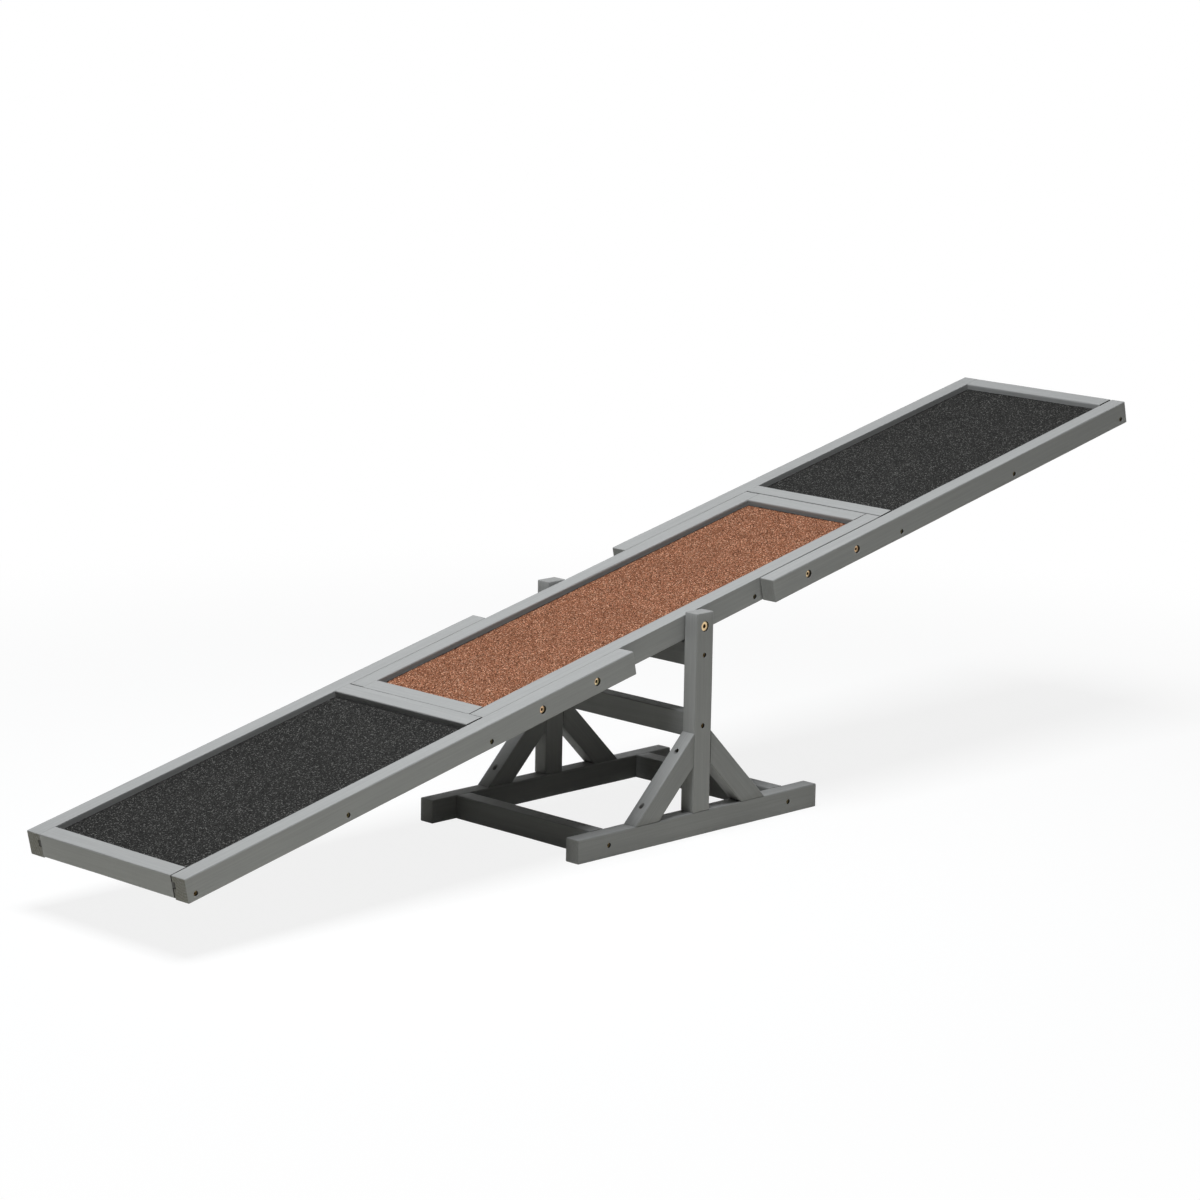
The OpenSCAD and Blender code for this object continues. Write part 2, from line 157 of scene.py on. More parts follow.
def tube_piece(name, grids, hollow=False):
    """One piece from grids of shape (rings, around, 3). Each ring runs anticlockwise seen from the far end.
    The end rings are filled, or joined to each other where a hollow piece's rings come back to where they
    began."""
    points, faces, base = [], [], 0
    for grid in grids:
        rings, around = grid.shape[:2]
        index = base + np.arange(rings * around).reshape(rings, around)
        index = np.concatenate([index, index[:1]]) if hollow else index
        beside = np.roll(index, -1, axis=1)
        quads = np.stack([index[:-1], beside[:-1], beside[1:], index[1:]], axis=-1).reshape(-1, 4)
        faces += quads.tolist()
        if not hollow:
            faces += [index[0][::-1].tolist(), index[-1].tolist()]
        points.append(grid.reshape(-1, 3))
        base += rings * around
    return new_piece(name, np.concatenate(points).tolist(), faces)


def carve(piece, grids, operation="DIFFERENCE"):
    """Cuts the tubes out of a piece, or joins them to it, and keeps the result as the piece's own mesh."""
    tool = tube_piece("tool", grids)
    step = piece.modifiers.new("carve", "BOOLEAN")
    step.operation, step.solver, step.object = operation, "EXACT", tool
    bpy.context.view_layer.update()
    result = bpy.data.meshes.new_from_object(piece.evaluated_get(bpy.context.evaluated_depsgraph_get()))
    piece.modifiers.clear()
    piece.data = result
    bpy.data.objects.remove(tool)
    shade(result)


# %% [markdown]
# ## The timber
# The frames are planed softwood. A planed stick isn't a perfect box: its long edges are eased with a
# sanding block, a little more here and a little less there, its ends are softened, and its faces wander by
# a few hundredths of a millimetre. A cube with a bevel has none of that. Here the outline is four corner
# arcs with straight runs between them, and their radius and distance change slowly along the stick.

# %% Slow wander along a stick
WANDER_WAVES = np.array([0.31, 0.17, 0.071])  # wavelengths in metres
WANDER_SHARES = np.array([0.5, 0.3, 0.2])


def wander(along, rng, count=1):
    """Between -1 and 1, for each place along a stick: a sum of three slow sine waves with random phases."""
    phases = rng.uniform(0, 2 * math.pi, (count, 1, len(WANDER_WAVES)))
    waves = np.sin(2 * math.pi * along[None, :, None] / WANDER_WAVES + phases)
    return waves @ WANDER_SHARES


# %% Outline of the timber
EASE = 1.5 * MM  # radius of an open edge
CRISP = 0.6 * MM  # of an edge at a joint
TIGHT = 0.25 * MM  # of an edge at a joint that paint has closed
END_EASE = 1.2 * MM
FACE_WANDER = 0.06 * MM
EASE_WANDER = 0.3  # share of the ease
LEAST_RADIUS = 0.15 * MM
ARC_STEPS = 5
RUN_SHARES = np.array([0.05, 0.15, 0.5, 0.85, 0.95])  # places of the points on a straight run
RING_SPACING = 12 * MM
LEAST_RINGS = 4
CAP_SHARES = np.array([0.68, 0.36, 0.14])  # how far in an end face's rings lie, as shares of half its width
ROUNDING = np.linspace(0, math.pi / 2, 4)  # angles of the rings on a softened edge


def eased_rings(wide, tall, radius):
    """Outlines for arrays of width, height and four corner radii. A corner's point is its centre plus the
    radius times (cosine, sine); a run's point is a mix of one corner's last point and the next corner's
    first."""
    angle = np.arange(4)[:, None] * math.pi / 2 + np.linspace(0, math.pi / 2, ARC_STEPS)
    side = np.sign(np.stack([np.cos(angle.mean(axis=1)), np.sin(angle.mean(axis=1))], axis=-1))
    half = np.stack([wide, tall], axis=-1)[:, None, :] / 2
    centre = side * (half - radius[..., None])
    circle = np.stack([np.cos(angle), np.sin(angle)], axis=-1)
    arcs = centre[:, :, None, :] + radius[:, :, None, None] * circle
    following = np.roll(arcs[:, :, :1, :], -1, axis=1)
    runs = arcs[:, :, -1:, :] + RUN_SHARES[:, None] * (following - arcs[:, :, -1:, :])
    return np.concatenate([arcs, runs], axis=2).reshape(len(wide), -1, 2)


def one_side(side, near_side):
    """Eases for the four edges in the order of the rings' corners: a special one for the edges on a side, 1
    or -1, and the usual one for the others."""
    return np.where(np.array([1, -1, -1, 1]) * side > 0, near_side, EASE)


SQUARE_ENDS = np.zeros((2, 2))


def stick(size, seed, slopes=SQUARE_ENDS, ease=EASE, end_ease=END_EASE):
    """A stick along its first axis, centred, as a grid of rings. From the middle of one end the rings
    widen, turn round the softened end edge, run along the stick and close at the other end in the same way.
    The two ends may be cut on the slant: an end's place along the stick is its slopes times (width, height)
    further on."""
    length, wide, tall = size
    rng = np.random.default_rng(seed)
    cap = CAP_SHARES * min(wide, tall) / 2
    inset = np.concatenate([cap, end_ease * (1 - np.sin(ROUNDING))])
    depth = np.concatenate([0 * cap, end_ease * (1 - np.cos(ROUNDING))])
    count = max(LEAST_RINGS, round(length / RING_SPACING))
    share = np.concatenate([0 * inset, np.arange(1, count) / count, 0 * inset + 1])
    offset = np.concatenate([depth, np.zeros(count - 1), -depth[::-1]])
    inset = np.concatenate([inset, np.zeros(count - 1), inset[::-1]])
    along = share * length + offset
    widths = wide - 2 * inset + FACE_WANDER * wander(along, rng)[0]
    talls = tall - 2 * inset + FACE_WANDER * wander(along, rng)[0]
    radius = ease * (1 + EASE_WANDER * wander(along, rng, 4).T) - inset[:, None]
    outline = eased_rings(widths, talls, np.maximum(radius, LEAST_RADIUS))
    start = -length / 2 + outline @ slopes[0]
    end = length / 2 + outline @ slopes[1]
    place = start + share[:, None] * (end - start) + offset[:, None]
    return np.concatenate([place[..., None], outline], axis=-1)


print("points in one ring:", 4 * (ARC_STEPS + len(RUN_SHARES)))

# %% [markdown]
# ## Screws, bolts and where they go
# The frame already holds every fastener as a plain solid, so we measure them instead of placing them again.
# Triangles that share a corner belong to one solid: each triangle hands the lowest label among its corners
# to all three, until no label changes. A solid's longest side is its axis, and its widest points are its
# head.

# %% Measure the fasteners
WIDE_SHARE = 0.93  # a point this near the largest radius belongs to the head
TIP_SLICE = MM / 10  # the shank's radius is taken over this length at the tip
MERGE_DIGITS = 6  # points that agree to a micrometre are one point


def solids_of(node):
    """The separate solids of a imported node, as arrays of points in the world."""
    points, triangles = packed_mesh(node)
    merged, index = np.unique(points.round(MERGE_DIGITS), axis=0, return_inverse=True)
    triangles = index.reshape(-1)[triangles]
    label = np.arange(len(merged))
    while True:
        lowest = label.copy()
        np.minimum.at(lowest, triangles, label[triangles].min(axis=1)[:, None])
        if (lowest == label).all():
            return [merged[label == one] for one in np.unique(label)]
        label = lowest


def measure(points, axis):
    """A fastener's foot, its axis towards the head, and its lengths and radii along that axis."""
    middle = (points.min(axis=0) + points.max(axis=0)) / 2
    along = (points - middle) @ axis
    radius = np.linalg.norm(points - middle - along[:, None] * axis, axis=1)
    wide = radius > WIDE_SHARE * radius.max()
    if along[wide].mean() < -MM:
        return measure(points, -axis)
    tip = along.min()
    return {
        "tip": middle + tip * axis,
        "axis": axis,
        "seat": along[wide].min() - tip,
        "top": along.max() - tip,
        "head": radius.max(),
        "shank": radius[along < tip + TIP_SLICE].max(),
        "bore": radius.min(),
    }


def fasteners(node, axis=None):
    """Every fastener of a node, measured. Its axis is its longest side, unless an axis is given."""
    found = []
    for points in solids_of(node):
        longest = np.eye(3)[np.ptp(points, axis=0).argmax()]
        found.append(measure(points, longest if axis is None else np.array(axis, float)))
    return found


ACROSS = (0, 1, 0)
CROSSWISE = ("tongue_bolts", "tongue_inserts", "pivot_bolts", "pivot_inserts", "pivot_washers")
FASTENERS = {node: fasteners(node) for node in BODY_OF if node.endswith("screws")}
FASTENERS.update({node: fasteners(node, ACROSS) for node in CROSSWISE})
print("fasteners measured:", sum(len(found) for found in FASTENERS.values()))

# %% [markdown]
# ## Turned shapes
# A bolt, a washer and the drill that makes a hole are all turned: an outline of radius against length,
# swept round an axis. The radius may also depend on the angle, which is how a thread, a knurl or a hexagon
# comes out of the same function. The first helper finds two directions across the axis.

# %% Turned grids
FINE, COARSE = 48, 24  # points round a turned part
NEARLY_ALONG = 0.9  # past this, the first direction is too near the axis to start from


def across_axis(axis):
    """Three unit columns that make a right-handed frame, the last of them the axis."""
    helper = np.eye(3)[0] if abs(axis[0]) < NEARLY_ALONG else np.eye(3)[1]
    first = np.cross(helper, axis) / np.linalg.norm(np.cross(helper, axis))
    return np.stack([first, np.cross(axis, first), axis], axis=1)


def turned(foot, axis, radius, length, twist=0.0):
    """Rings round an axis. Radius and length are arrays of shape (rings, around), or (rings, 1) where a
    ring is round; a point is the foot plus radius times (cosine, sine) across the axis plus length along
    it."""
    around = np.shape(radius)[1] if np.shape(radius)[1] > 1 else FINE
    angle = np.linspace(0, 2 * math.pi, around, endpoint=False) + twist
    spread = np.stack([radius * np.cos(angle), radius * np.sin(angle), length + 0 * angle], axis=-1)
    return foot + spread @ across_axis(axis).T


def column(*values):
    """Numbers as an array with one ring in each row."""
    return np.array(values, float)[:, None]


# %% [markdown]
# ## Holes with a worn lip
# A counterbored hole in painted wood has a soft lip, because paint pulls back from a sharp edge. The drill
# below has the shank's bore, the flat seat and the wide recess, and it flares where it leaves the wood.

# %% The drill
BORE_PLAY = 0.05 * MM
BOLT_HOLE_PLAY = 0.5 * MM
LIP = 0.35 * MM
PAINT_LINE = 1.0 * MM  # how far paint reaches into a recess
PAST = 1.0 * MM
DEEP_RECESS = 42 * MM


def drill(found, play, surface=None):
    """The grid to cut for a fastener. Surface is how far above the foot the wood's face lies; without one
    the recess runs on straight, as it does where a brace is cut on the slant."""
    bore, recess = found["shank"] + BORE_PLAY, found["head"] + play
    radius, length = [bore, bore, recess], [-BORE_PLAY, found["seat"], found["seat"]]
    if surface is None:
        radius, length = radius + [recess], length + [found["seat"] + DEEP_RECESS]
    else:
        radius += [recess, *(recess + LIP * (1 - np.cos(ROUNDING))), recess + LIP]
        length += [surface - PAINT_LINE, *(surface - LIP * (1 - np.sin(ROUNDING))), surface + PAST]
    return turned(found["tip"], found["axis"], column(*radius), column(*length))


def bored(found):
    """The blind bore for a threaded insert, open at its outer end."""
    radius = found["head"] + BORE_PLAY
    length = column(-BORE_PLAY, found["top"] + PAST)
    return turned(found["tip"], found["axis"], column(radius, radius), length)


# %% [markdown]
# ## Timber in its place
# Each stick now gets its size from the imported node that it stands for, then its holes and its joints. When
# a cut adds new points, any pattern stored on the old ones would smear, so the attributes that the paint
# reads are worked out last, from the finished points: where a point is in the stick, how near it is to an
# edge, how much end grain it shows, how deep it is sunk in a cut or hidden in a joint, which the paint shows
# as painted shade, and how much painted shade darkens the whole stick.

# %% Attributes for the paint
EDGE_REACH = 2.5 * MM
END_REACH = 0.3 * MM
# depths over which the painted shade in a cut grows, and how far it reaches in from a butted end
SUNK_START, SUNK_REACH = 0.2 * MM, 0.8 * MM
JOINT_REACH = 0.5 * MM
BUTTED = ("bar", "batten", "crossrail", "brace")  # kinds of stick whose ends are hidden in joints
# painted shade: the base's sticks are darkened, the more so where they stand under the plank
STICK_SHADES = {  # the first kind that a name holds counts
    "upper_crossrail": 0.52,
    "crossrail": 0.68,
    "brace": 0.8,
    "ground_bar": 0.8,
    "runner": 0.77,
    "post": 0.88,
}
SANDED = 0.2  # how much end grain still shows where an end was sanded and painted over
OPEN_ENDS = {"low": (1, SANDED), "high": (SANDED, 1)}
HEART_SEED = 1000
HEART_AWAY = (22, 60)  # least and most distance from the tree's heart, mm
TRUNK_LENGTH = 9  # metres of trunk that a stick may come from
TURNS = {
    "x": np.eye(3),
    "y": np.array([[0, -1, 0], [1, 0, 0], [0, 0, 1]]),
    "z": np.array([[0, 0, -1], [0, 1, 0], [1, 0, 0]]),
}

# %% Points and what is stored on them


def own_points(mesh, turn, origin):
    """A mesh's points in the square frame with this turn and origin."""
    points = np.empty(len(mesh.vertices) * 3, np.float32)
    mesh.vertices.foreach_get("co", points)
    return (points.reshape(-1, 3) - origin) @ turn


def store(mesh, name, values):
    """Keeps numbers, or vectors, on a mesh's points."""
    kind, field = ("FLOAT_VECTOR", "vector") if values.ndim == 2 else ("FLOAT", "value")
    mesh.attributes.new(name, kind, "POINT").data.foreach_set(field, values.astype(np.float32).ravel())


# %% What the paint needs to know


def stick_shade_of(node):
    """How far painted shade darkens a stick: the plank is 1, and the base, most of all under the plank, is
    darker.
    """
    return next((stick_shade for kind, stick_shade in STICK_SHADES.items() if kind in node), 1.0)


def open_ends(node):
    """How much end grain shows at a stick's lower and upper end: all of it only at the plank's own ends."""
    sanded = (SANDED, SANDED)
    return np.array(OPEN_ENDS.get(node.split("_")[0], sanded) if node.endswith("rail") else sanded)


def butts(node):
    """Whether a stick's ends are hidden in joints."""
    return any(kind in node for kind in BUTTED)


def end_ease_of(node):
    """How far a stick's ends are softened: less where they are hidden in joints, and hardly at all on the
    near centre rail, whose ends fit close against the inner bars."""
    return TIGHT if node == "centre_near_rail" else CRISP if butts(node) else END_EASE


def describe_timber(mesh, node, turn, origin, size, seed, slopes):
    """Stores place, edge, end_grain, sunk and stick_shade. A point's distance to the nearest edge is the
    second smallest of its distances to the stick's ends, sides and faces, because the smallest is to the face
    that it lies on. In a bore or a groove the smallest isn't zero: it is the depth, and makes the point sunk,
    which the paint shows as painted shade. The butted ends get the same painted shade as a bore."""
    own = own_points(mesh, turn, origin)
    lower = own[:, 0] + size[0] / 2 - own[:, 1:] @ slopes[0]
    upper = size[0] / 2 + own[:, 1:] @ slopes[1] - own[:, 0]
    to_end = np.minimum(lower / math.hypot(1, *slopes[0]), upper / math.hypot(1, *slopes[1]))
    inside = np.stack([to_end, size[1] / 2 - abs(own[:, 1]), size[2] / 2 - abs(own[:, 2])], axis=1)
    store(mesh, "edge", np.clip(1 - np.sort(inside, axis=1)[:, 1] / EDGE_REACH, 0, 1))
    shown = open_ends(node)[(own[:, 0] > 0).astype(int)]
    store(mesh, "end_grain", np.clip(1 - to_end / END_REACH, 0, 1) * shown)
    # how sunk a point is, in a cut or at a butted end: the paint shows it as painted shade
    depth = np.clip((inside.min(axis=1) - SUNK_START) / SUNK_REACH, 0, 1)
    butted = butts(node) * np.clip(1 - to_end / JOINT_REACH, 0, 1)
    store(mesh, "sunk", np.maximum(depth, butted))
    # each stick's painted shade, one number on all its points
    store(mesh, "stick_shade", np.full(len(own), stick_shade_of(node)))
    rng = np.random.default_rng(HEART_SEED + seed)
    heart = rng.uniform(0, 2 * math.pi)
    away = rng.uniform(*HEART_AWAY) * MM
    shift = np.array([rng.uniform(0, TRUNK_LENGTH), away * math.cos(heart), away * math.sin(heart)])
    store(mesh, "place", own + shift)


# %% Place a stick
STICK_SEEDS = range(1, 200)
seeds = iter(STICK_SEEDS)


def place_stick(node, size, turn, middle, slopes=SQUARE_ENDS, cuts=(), joins=(), ease=EASE):
    """Makes the stick for a node, in the world, with its joins and cuts, and lets it stand for the node."""
    seed = next(seeds)
    body_turn, body_origin = body_frame(node)
    turn, origin = body_turn @ turn, middle @ body_turn.T + body_origin
    grid = stick(size, seed, slopes, ease, end_ease_of(node))
    piece = tube_piece(f"{node}_painted", [grid @ turn.T + origin])
    if len(joins):
        carve(piece, joins, "UNION")
    if len(cuts):
        carve(piece, cuts)
    describe_timber(piece.data, node, turn, origin, size, seed, slopes)
    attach(piece, BODY_OF[node])
    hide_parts(node)
    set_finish(piece, "painted_timber")
    return piece


# %% Blocks and holes


def block(node, low, high):
    """A square block between two corners of a node's own frame, as a grid in the world."""
    turn, origin = body_frame(node)
    ring = np.array([[low[1], low[2]], [high[1], low[2]], [high[1], high[2]], [low[1], high[2]]])
    grid = np.stack([np.column_stack([np.full(4, x), ring]) for x in (low[0], high[0])])
    return grid @ turn.T + origin


def holes(node, *groups):
    """The drills of every fastener in these groups that reaches into a node."""
    low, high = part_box(node)
    low, high = np.array(low), np.array(high)
    cuts = []
    for group in groups:
        for found in FASTENERS[group]:
            head = found["tip"] + found["seat"] * found["axis"]
            ends = np.stack([found["tip"], head])
            if (ends.max(axis=0) < low + MM).any() or (ends.min(axis=0) > high - MM).any():
                continue
            if group.endswith("inserts"):
                cuts.append(bored(found))
                continue
            face = np.where(found["axis"] > 0, high, low) @ np.abs(found["axis"])
            surface = (face - found["tip"] @ np.abs(found["axis"])) * found["axis"].sum()
            slanted = node.endswith("brace") or surface < found["seat"]
            play = BOLT_HOLE_PLAY if group.endswith("bolts") else BORE_PLAY
            cuts.append(drill(found, play, None if slanted else surface))
    return cuts


# %% Straight timber
SHY = {  # three sticks fall short of their neighbours by this much, at their box's low and high corner
    "high_near_rail": np.array([[0, 0, 0], [0, -1.0, 0]]) * MM,
    "high_inner_bar": np.array([[2.0, 0, 0], [0, 0, 0]]) * MM,
    "centre_far_rail": np.array([[1.6, 0, 0], [0, 0, 0]]) * MM,
}


def straight_timber(node, along, groups=(), cuts=(), ease=EASE):
    """A square-cut stick that fills its node's box, with its long side along x, y or z of its body."""
    low, high = np.array(own_box(node)) + SHY.get(node, 0)
    turn = TURNS[along]
    size = np.abs((high - low) @ turn)
    return place_stick(node, size, turn, (low + high) / 2, cuts=[*holes(node, *groups), *cuts], ease=ease)


# %% The base: posts, runners, ground bars and crossrails
POST_HOLES = ("crossrail_screws", "post_foot_screws", "brace_screws", "pivot_bolts")
RUNNER_HOLES = ("ground_bar_screws", "post_foot_screws", "brace_screws")

for side in ("near", "far"):
    straight_timber(f"{side}_post", "z", POST_HOLES)
    straight_timber(f"{side}_runner", "x", RUNNER_HOLES)
for end in ("low", "high"):
    straight_timber(f"{end}_ground_bar", "y", ["ground_bar_screws"])
for level in ("middle", "upper"):
    straight_timber(f"{level}_crossrail", "y", ["crossrail_screws"])

# %% [markdown]
# ## Braces cut at 45 degrees
# Each post is held upright by two braces. A brace is the same eased stick, but its foot is cut level, to
# stand on the runner, and its head is cut plumb, to lie against the post. In the stick's own frame both
# cuts are slants of slope one, so they need no separate shape.

# %% The braces
BRACE_WIDTH = 32 * MM
BRACE_SLOPES = np.array([[0.0, -1.0], [0.0, 1.0]])


def brace(node, end):
    """The stick runs from the middle of its foot on the runner up to the middle of its head on the post."""
    low, high = own_box(node)
    face = BRACE_WIDTH * math.sqrt(2)
    outer, inner = (high[0], low[0]) if end > 0 else (low[0], high[0])
    middle_y = (low[1] + high[1]) / 2
    foot = np.array([outer - end * face / 2, middle_y, low[2]])
    head = np.array([inner, middle_y, high[2] - face / 2])
    along = (head - foot) / np.linalg.norm(head - foot)
    across = np.array([0.0, -end, 0.0])
    turn = np.stack([along, across, np.cross(along, across)], axis=1)
    size = np.array([np.linalg.norm(head - foot), high[1] - low[1], BRACE_WIDTH])
    cuts = holes(node, "brace_screws")
    return place_stick(node, size, turn, (foot + head) / 2, BRACE_SLOPES, cuts)


for side in ("near", "far"):
    brace(f"{side}_low_brace", -1)
    piece = brace(f"{side}_high_brace", 1)
print("brace reaches, mm:", (np.array(piece.bound_box).max(axis=0) / MM).round(1))

# %% [markdown]
# ## The plank's three frames
# Two end frames reach round the centre frame with long tongues. Every rail has a groove on its inner face.
# The boards lie in the grooves, and the crossbars end in stub tenons that nearly fill them, so a dark
# outline of a tenon shows in the end of each outer rail. Nor does a cut shoulder close all along: at the
# near end of each crossbar it stays open, more so towards the panel, and a black sliver shows from above.
# Where two rails lap, eased edges leave a thin dark line, and tight ones are painted over.

# %% Grooves and tenons
GROOVE_DEPTH = 5 * MM
GROOVE_PLAY = 0.1 * MM
TENON_GAP = 0.5 * MM
TENON_ROOT = 8 * MM  # how far a tenon's block reaches into its bar
TENON_INSET = 0.25 * MM
CENTRE_SHOULDER = 0.6 * MM
NEAR_SHOULDERS = {
    "low_end_bar": 1.6 * MM,
    "low_inner_bar": 3.0 * MM,
    "high_inner_bar": 1.3 * MM,
    "high_end_bar": 1.2 * MM,
}
FAR_SHOULDER = 0.12 * MM
SHOULDER_GAPE = 0.6 * MM  # how much wider the near shoulder is on the panel's side
BATTEN_EASE = 0.8 * MM
LAP_EASES = {  # of the edges where two rails lap
    "low_near_rail": TIGHT,
    "low_far_rail": CRISP,
    "centre_near_rail": TIGHT,
    "centre_far_rail": 1.05 * MM,
    "high_near_rail": EASE,
    "high_far_rail": CRISP,
}

# %% Cut the grooves and make the crossbars


def groove(node, board, side, start, stop):
    """A groove along a rail: it opens in the rail's inner face, at the height of the board."""
    low, high = own_box(node)
    board_low, board_high = own_box(board)
    inner = low[1] if side > 0 else high[1]
    edges = sorted([inner - side * PAST, inner + side * GROOVE_DEPTH])
    heights = board_low[2] - GROOVE_PLAY, board_high[2] + GROOVE_PLAY
    return block(node, (start, edges[0], heights[0]), (stop, edges[1], heights[1]))


def crossbar(node, rail, board, screws, outer_ease=CRISP):
    """A crossbar: a stick between the rails' faces, joined to its tenons and grooved towards the panel."""
    low, high = np.array(own_box(node)) + SHY.get(node, 0)
    board_low, board_high = own_box(board)
    panel_side = np.sign((board_low + board_high)[0] / 2 - (low + high)[0] / 2)
    near_shoulder = NEAR_SHOULDERS.get(node, CENTRE_SHOULDER)
    face = own_box(rail)[0][1]
    spans = (low[1], near_shoulder - face + TENON_ROOT), (face - TENON_ROOT, high[1])
    tenons = [block(node, (low[0] + TENON_INSET, start, board_low[2] + TENON_GAP),
                    (high[0] - TENON_INSET, stop, board_high[2])) for start, stop in spans]
    edge = high[0] if panel_side > 0 else low[0]
    width = sorted([edge - panel_side * GROOVE_DEPTH, edge + panel_side * PAST])
    slot = block(node, (width[0], low[1] - PAST, board_low[2] - GROOVE_PLAY),
                 (width[1], high[1] + PAST, board_high[2] + GROOVE_PLAY))
    size = np.array([2 * face - near_shoulder - FAR_SHOULDER, high[0] - low[0], high[2] - low[2]])
    middle = (low + high) / 2 + np.array([0, (near_shoulder - FAR_SHOULDER) / 2, 0])
    slopes = np.array([[-panel_side * SHOULDER_GAPE / size[1], 0], [0, 0]])
    return place_stick(node, size, TURNS["y"], middle, slopes, [*holes(node, screws), slot], tenons,
                       one_side(panel_side, outer_ease))


# %% The frames of the plank
for end, sign in (("low", -1), ("high", 1)):
    board, screws = f"{end}_board", f"{end}_frame_screws"
    bar_low, bar_high = own_box(f"{end}_inner_bar")
    for side, hand in (("near", -1), ("far", 1)):
        node = f"{end}_{side}_rail"
        rail_low, rail_high = own_box(node)
        span = (bar_low[0], rail_high[0] + PAST) if sign > 0 else (rail_low[0] - PAST, bar_high[0])
        cut = groove(node, board, hand, *span)
        straight_timber(node, "x", [screws, "tongue_bolts"], [cut], one_side(-hand, LAP_EASES[node]))
    crossbar(f"{end}_end_bar", f"{end}_far_rail", board, screws, EASE)
    crossbar(f"{end}_inner_bar", f"{end}_far_rail", board, screws)
    straight_timber(f"{end}_batten", "y", [screws], ease=BATTEN_EASE)
for side, hand in (("near", -1), ("far", 1)):
    node = f"centre_{side}_rail"
    rail_low, rail_high = own_box(node)
    cut = groove(node, "centre_board", hand, rail_low[0] - PAST, rail_high[0] + PAST)
    straight_timber(node, "x", ["centre_frame_screws", "tongue_inserts", "pivot_inserts"], [cut],
                    one_side(hand, LAP_EASES[node]))
for end in ("low", "high"):
    crossbar(f"centre_{end}_bar", "centre_far_rail", "centre_board", "centre_frame_screws")
    straight_timber(f"centre_{end}_batten", "y", ["centre_frame_screws"], ease=BATTEN_EASE)

# %% [markdown]
# ## The grip sheets
# The walking surface is a mineral-granule sheet, like roofing felt, glued to each board. A flat slab with a
# bump map would look printed. So the top is a fine grid with one point for every granule, each nudged
# sideways and up or down. Along the cut edge the granules have fallen off the black backing, and it sinks
# towards the gap; that black strip is also painted shade for the gap beside the rails.

# %% Granular sheets
GRANULE_STEP = 1.5 * MM
GRANULE_RELIEF = 0.5 * MM
NUDGE = 0.35  # share of the step
EDGE_SPREAD = 0.9 * MM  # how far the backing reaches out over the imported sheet's edge
EDGE_FRAY = 0.4 * MM
EDGE_DROP = 1.1 * MM
# the black of this strip is black backing and painted shade for the gap along the rails
BARE_STRIP = 5.5 * MM  # the granules thin out over this strip
SHEET_SWELL = 0.12 * MM
SWELL_WAVES = (23, 31)  # radians per metre, along and across
RELIEF_POWER = 1.5  # above one, most granules stand high and few lie deep
STRIP_WANDER = (0.6, 1.4)  # distances to the edge are stretched by this much, so that the strip is ragged
FIRST_SHEET_SEED = 50
SHEETS = {
    "low_grip_sheet": "charcoal_granules",
    "centre_grip_sheet": "brown_granules",
    "high_grip_sheet": "charcoal_granules",
}


def granular_sheet(node, slot, seed):
    """A sheet as a height over a grid: the top less a random granule depth, plus a slow swell. The border
    points spread out and drop, and one more ring folds them down to the board."""
    low, high = own_box(node)
    rng = np.random.default_rng(seed)
    half, centre = (high - low)[:2] / 2, (high + low)[:2] / 2
    count = np.round(2 * half / GRANULE_STEP).astype(int)
    lines = [np.linspace(-reach, reach, number) for reach, number in zip(half, count)]
    grid = np.stack(np.meshgrid(*lines, indexing="ij"), axis=-1)
    outward = np.sign(grid) * (abs(grid) > half - GRANULE_STEP / 2)
    border = abs(outward).max(axis=-1)
    spread = EDGE_SPREAD - EDGE_FRAY * rng.random((*border.shape, 1))
    nudge = rng.uniform(-1, 1, grid.shape) * NUDGE * GRANULE_STEP * (1 - border[..., None])
    grid += nudge + outward * spread
    swell = np.sin(grid[..., 0] * SWELL_WAVES[0] + seed) * np.sin(grid[..., 1] * SWELL_WAVES[1] + 2 * seed)
    relief = GRANULE_RELIEF * rng.random(border.shape) ** RELIEF_POWER * (1 - border)
    z = high[2] - SHEET_SWELL * (1 + swell) - relief - EDGE_DROP * border
    own = np.concatenate([grid + centre, z[..., None]], axis=-1)
    own = np.pad(own, ((1, 1), (1, 1), (0, 0)), mode="edge")
    to_edge = np.clip(half - abs(grid), 0, None).min(axis=-1) * rng.uniform(*STRIP_WANDER, border.shape)
    bare = np.pad(np.clip(1 - to_edge / BARE_STRIP, 0, 1), 1, mode="edge")
    own[[0, -1], :, 2] = own[:, [0, -1], 2] = low[2]
    index = np.arange(bare.size).reshape(bare.shape)
    quads = np.stack([index[:-1, :-1], index[1:, :-1], index[1:, 1:], index[:-1, 1:]], axis=-1)
    rim = np.concatenate([index[:-1, 0], index[-1, :-1], index[:0:-1, -1], index[0, :0:-1]])
    turn, origin = body_frame(node)
    points = own.reshape(-1, 3) @ turn.T + origin
    faces = quads.reshape(-1, 4).tolist() + [rim[::-1].tolist()]
    piece = new_piece(f"{node}_granular", points.tolist(), faces)
    store(piece.data, "place", own.reshape(-1, 3))
    store(piece.data, "bare", bare.ravel())
    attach(piece, BODY_OF[node])
    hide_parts(node)
    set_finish(piece, slot)
    return piece


# %% The three sheets
for seed, (node, slot) in enumerate(SHEETS.items(), FIRST_SHEET_SEED):
    piece = granular_sheet(node, slot, seed)
    print(piece.name, len(piece.data.polygons), "faces")

# %% [markdown]
# ## Wood screws
# A wood screw is a turned part with two tricks. Its thread is a ridge whose crest climbs one pitch in each
# turn, so the radius depends on length and angle together. Its cross slot is a dip in the head's top: the
# rings shrink towards the middle, and a point sinks where it lies in one of the two arms of the cross.

# %% Threads and cross slots
THREAD_STEPS = 6  # rings in each turn of a thread
SCREW_PITCH = 2.2 * MM
SLOT_HALF_WIDTH = 0.55 * MM
SLOT_HALF_LENGTH = 2.1 * MM
SLOT_DEPTH = 1.3 * MM
ARM_RISE = 0.4  # share of its depth that a slot's arm has lost at its end


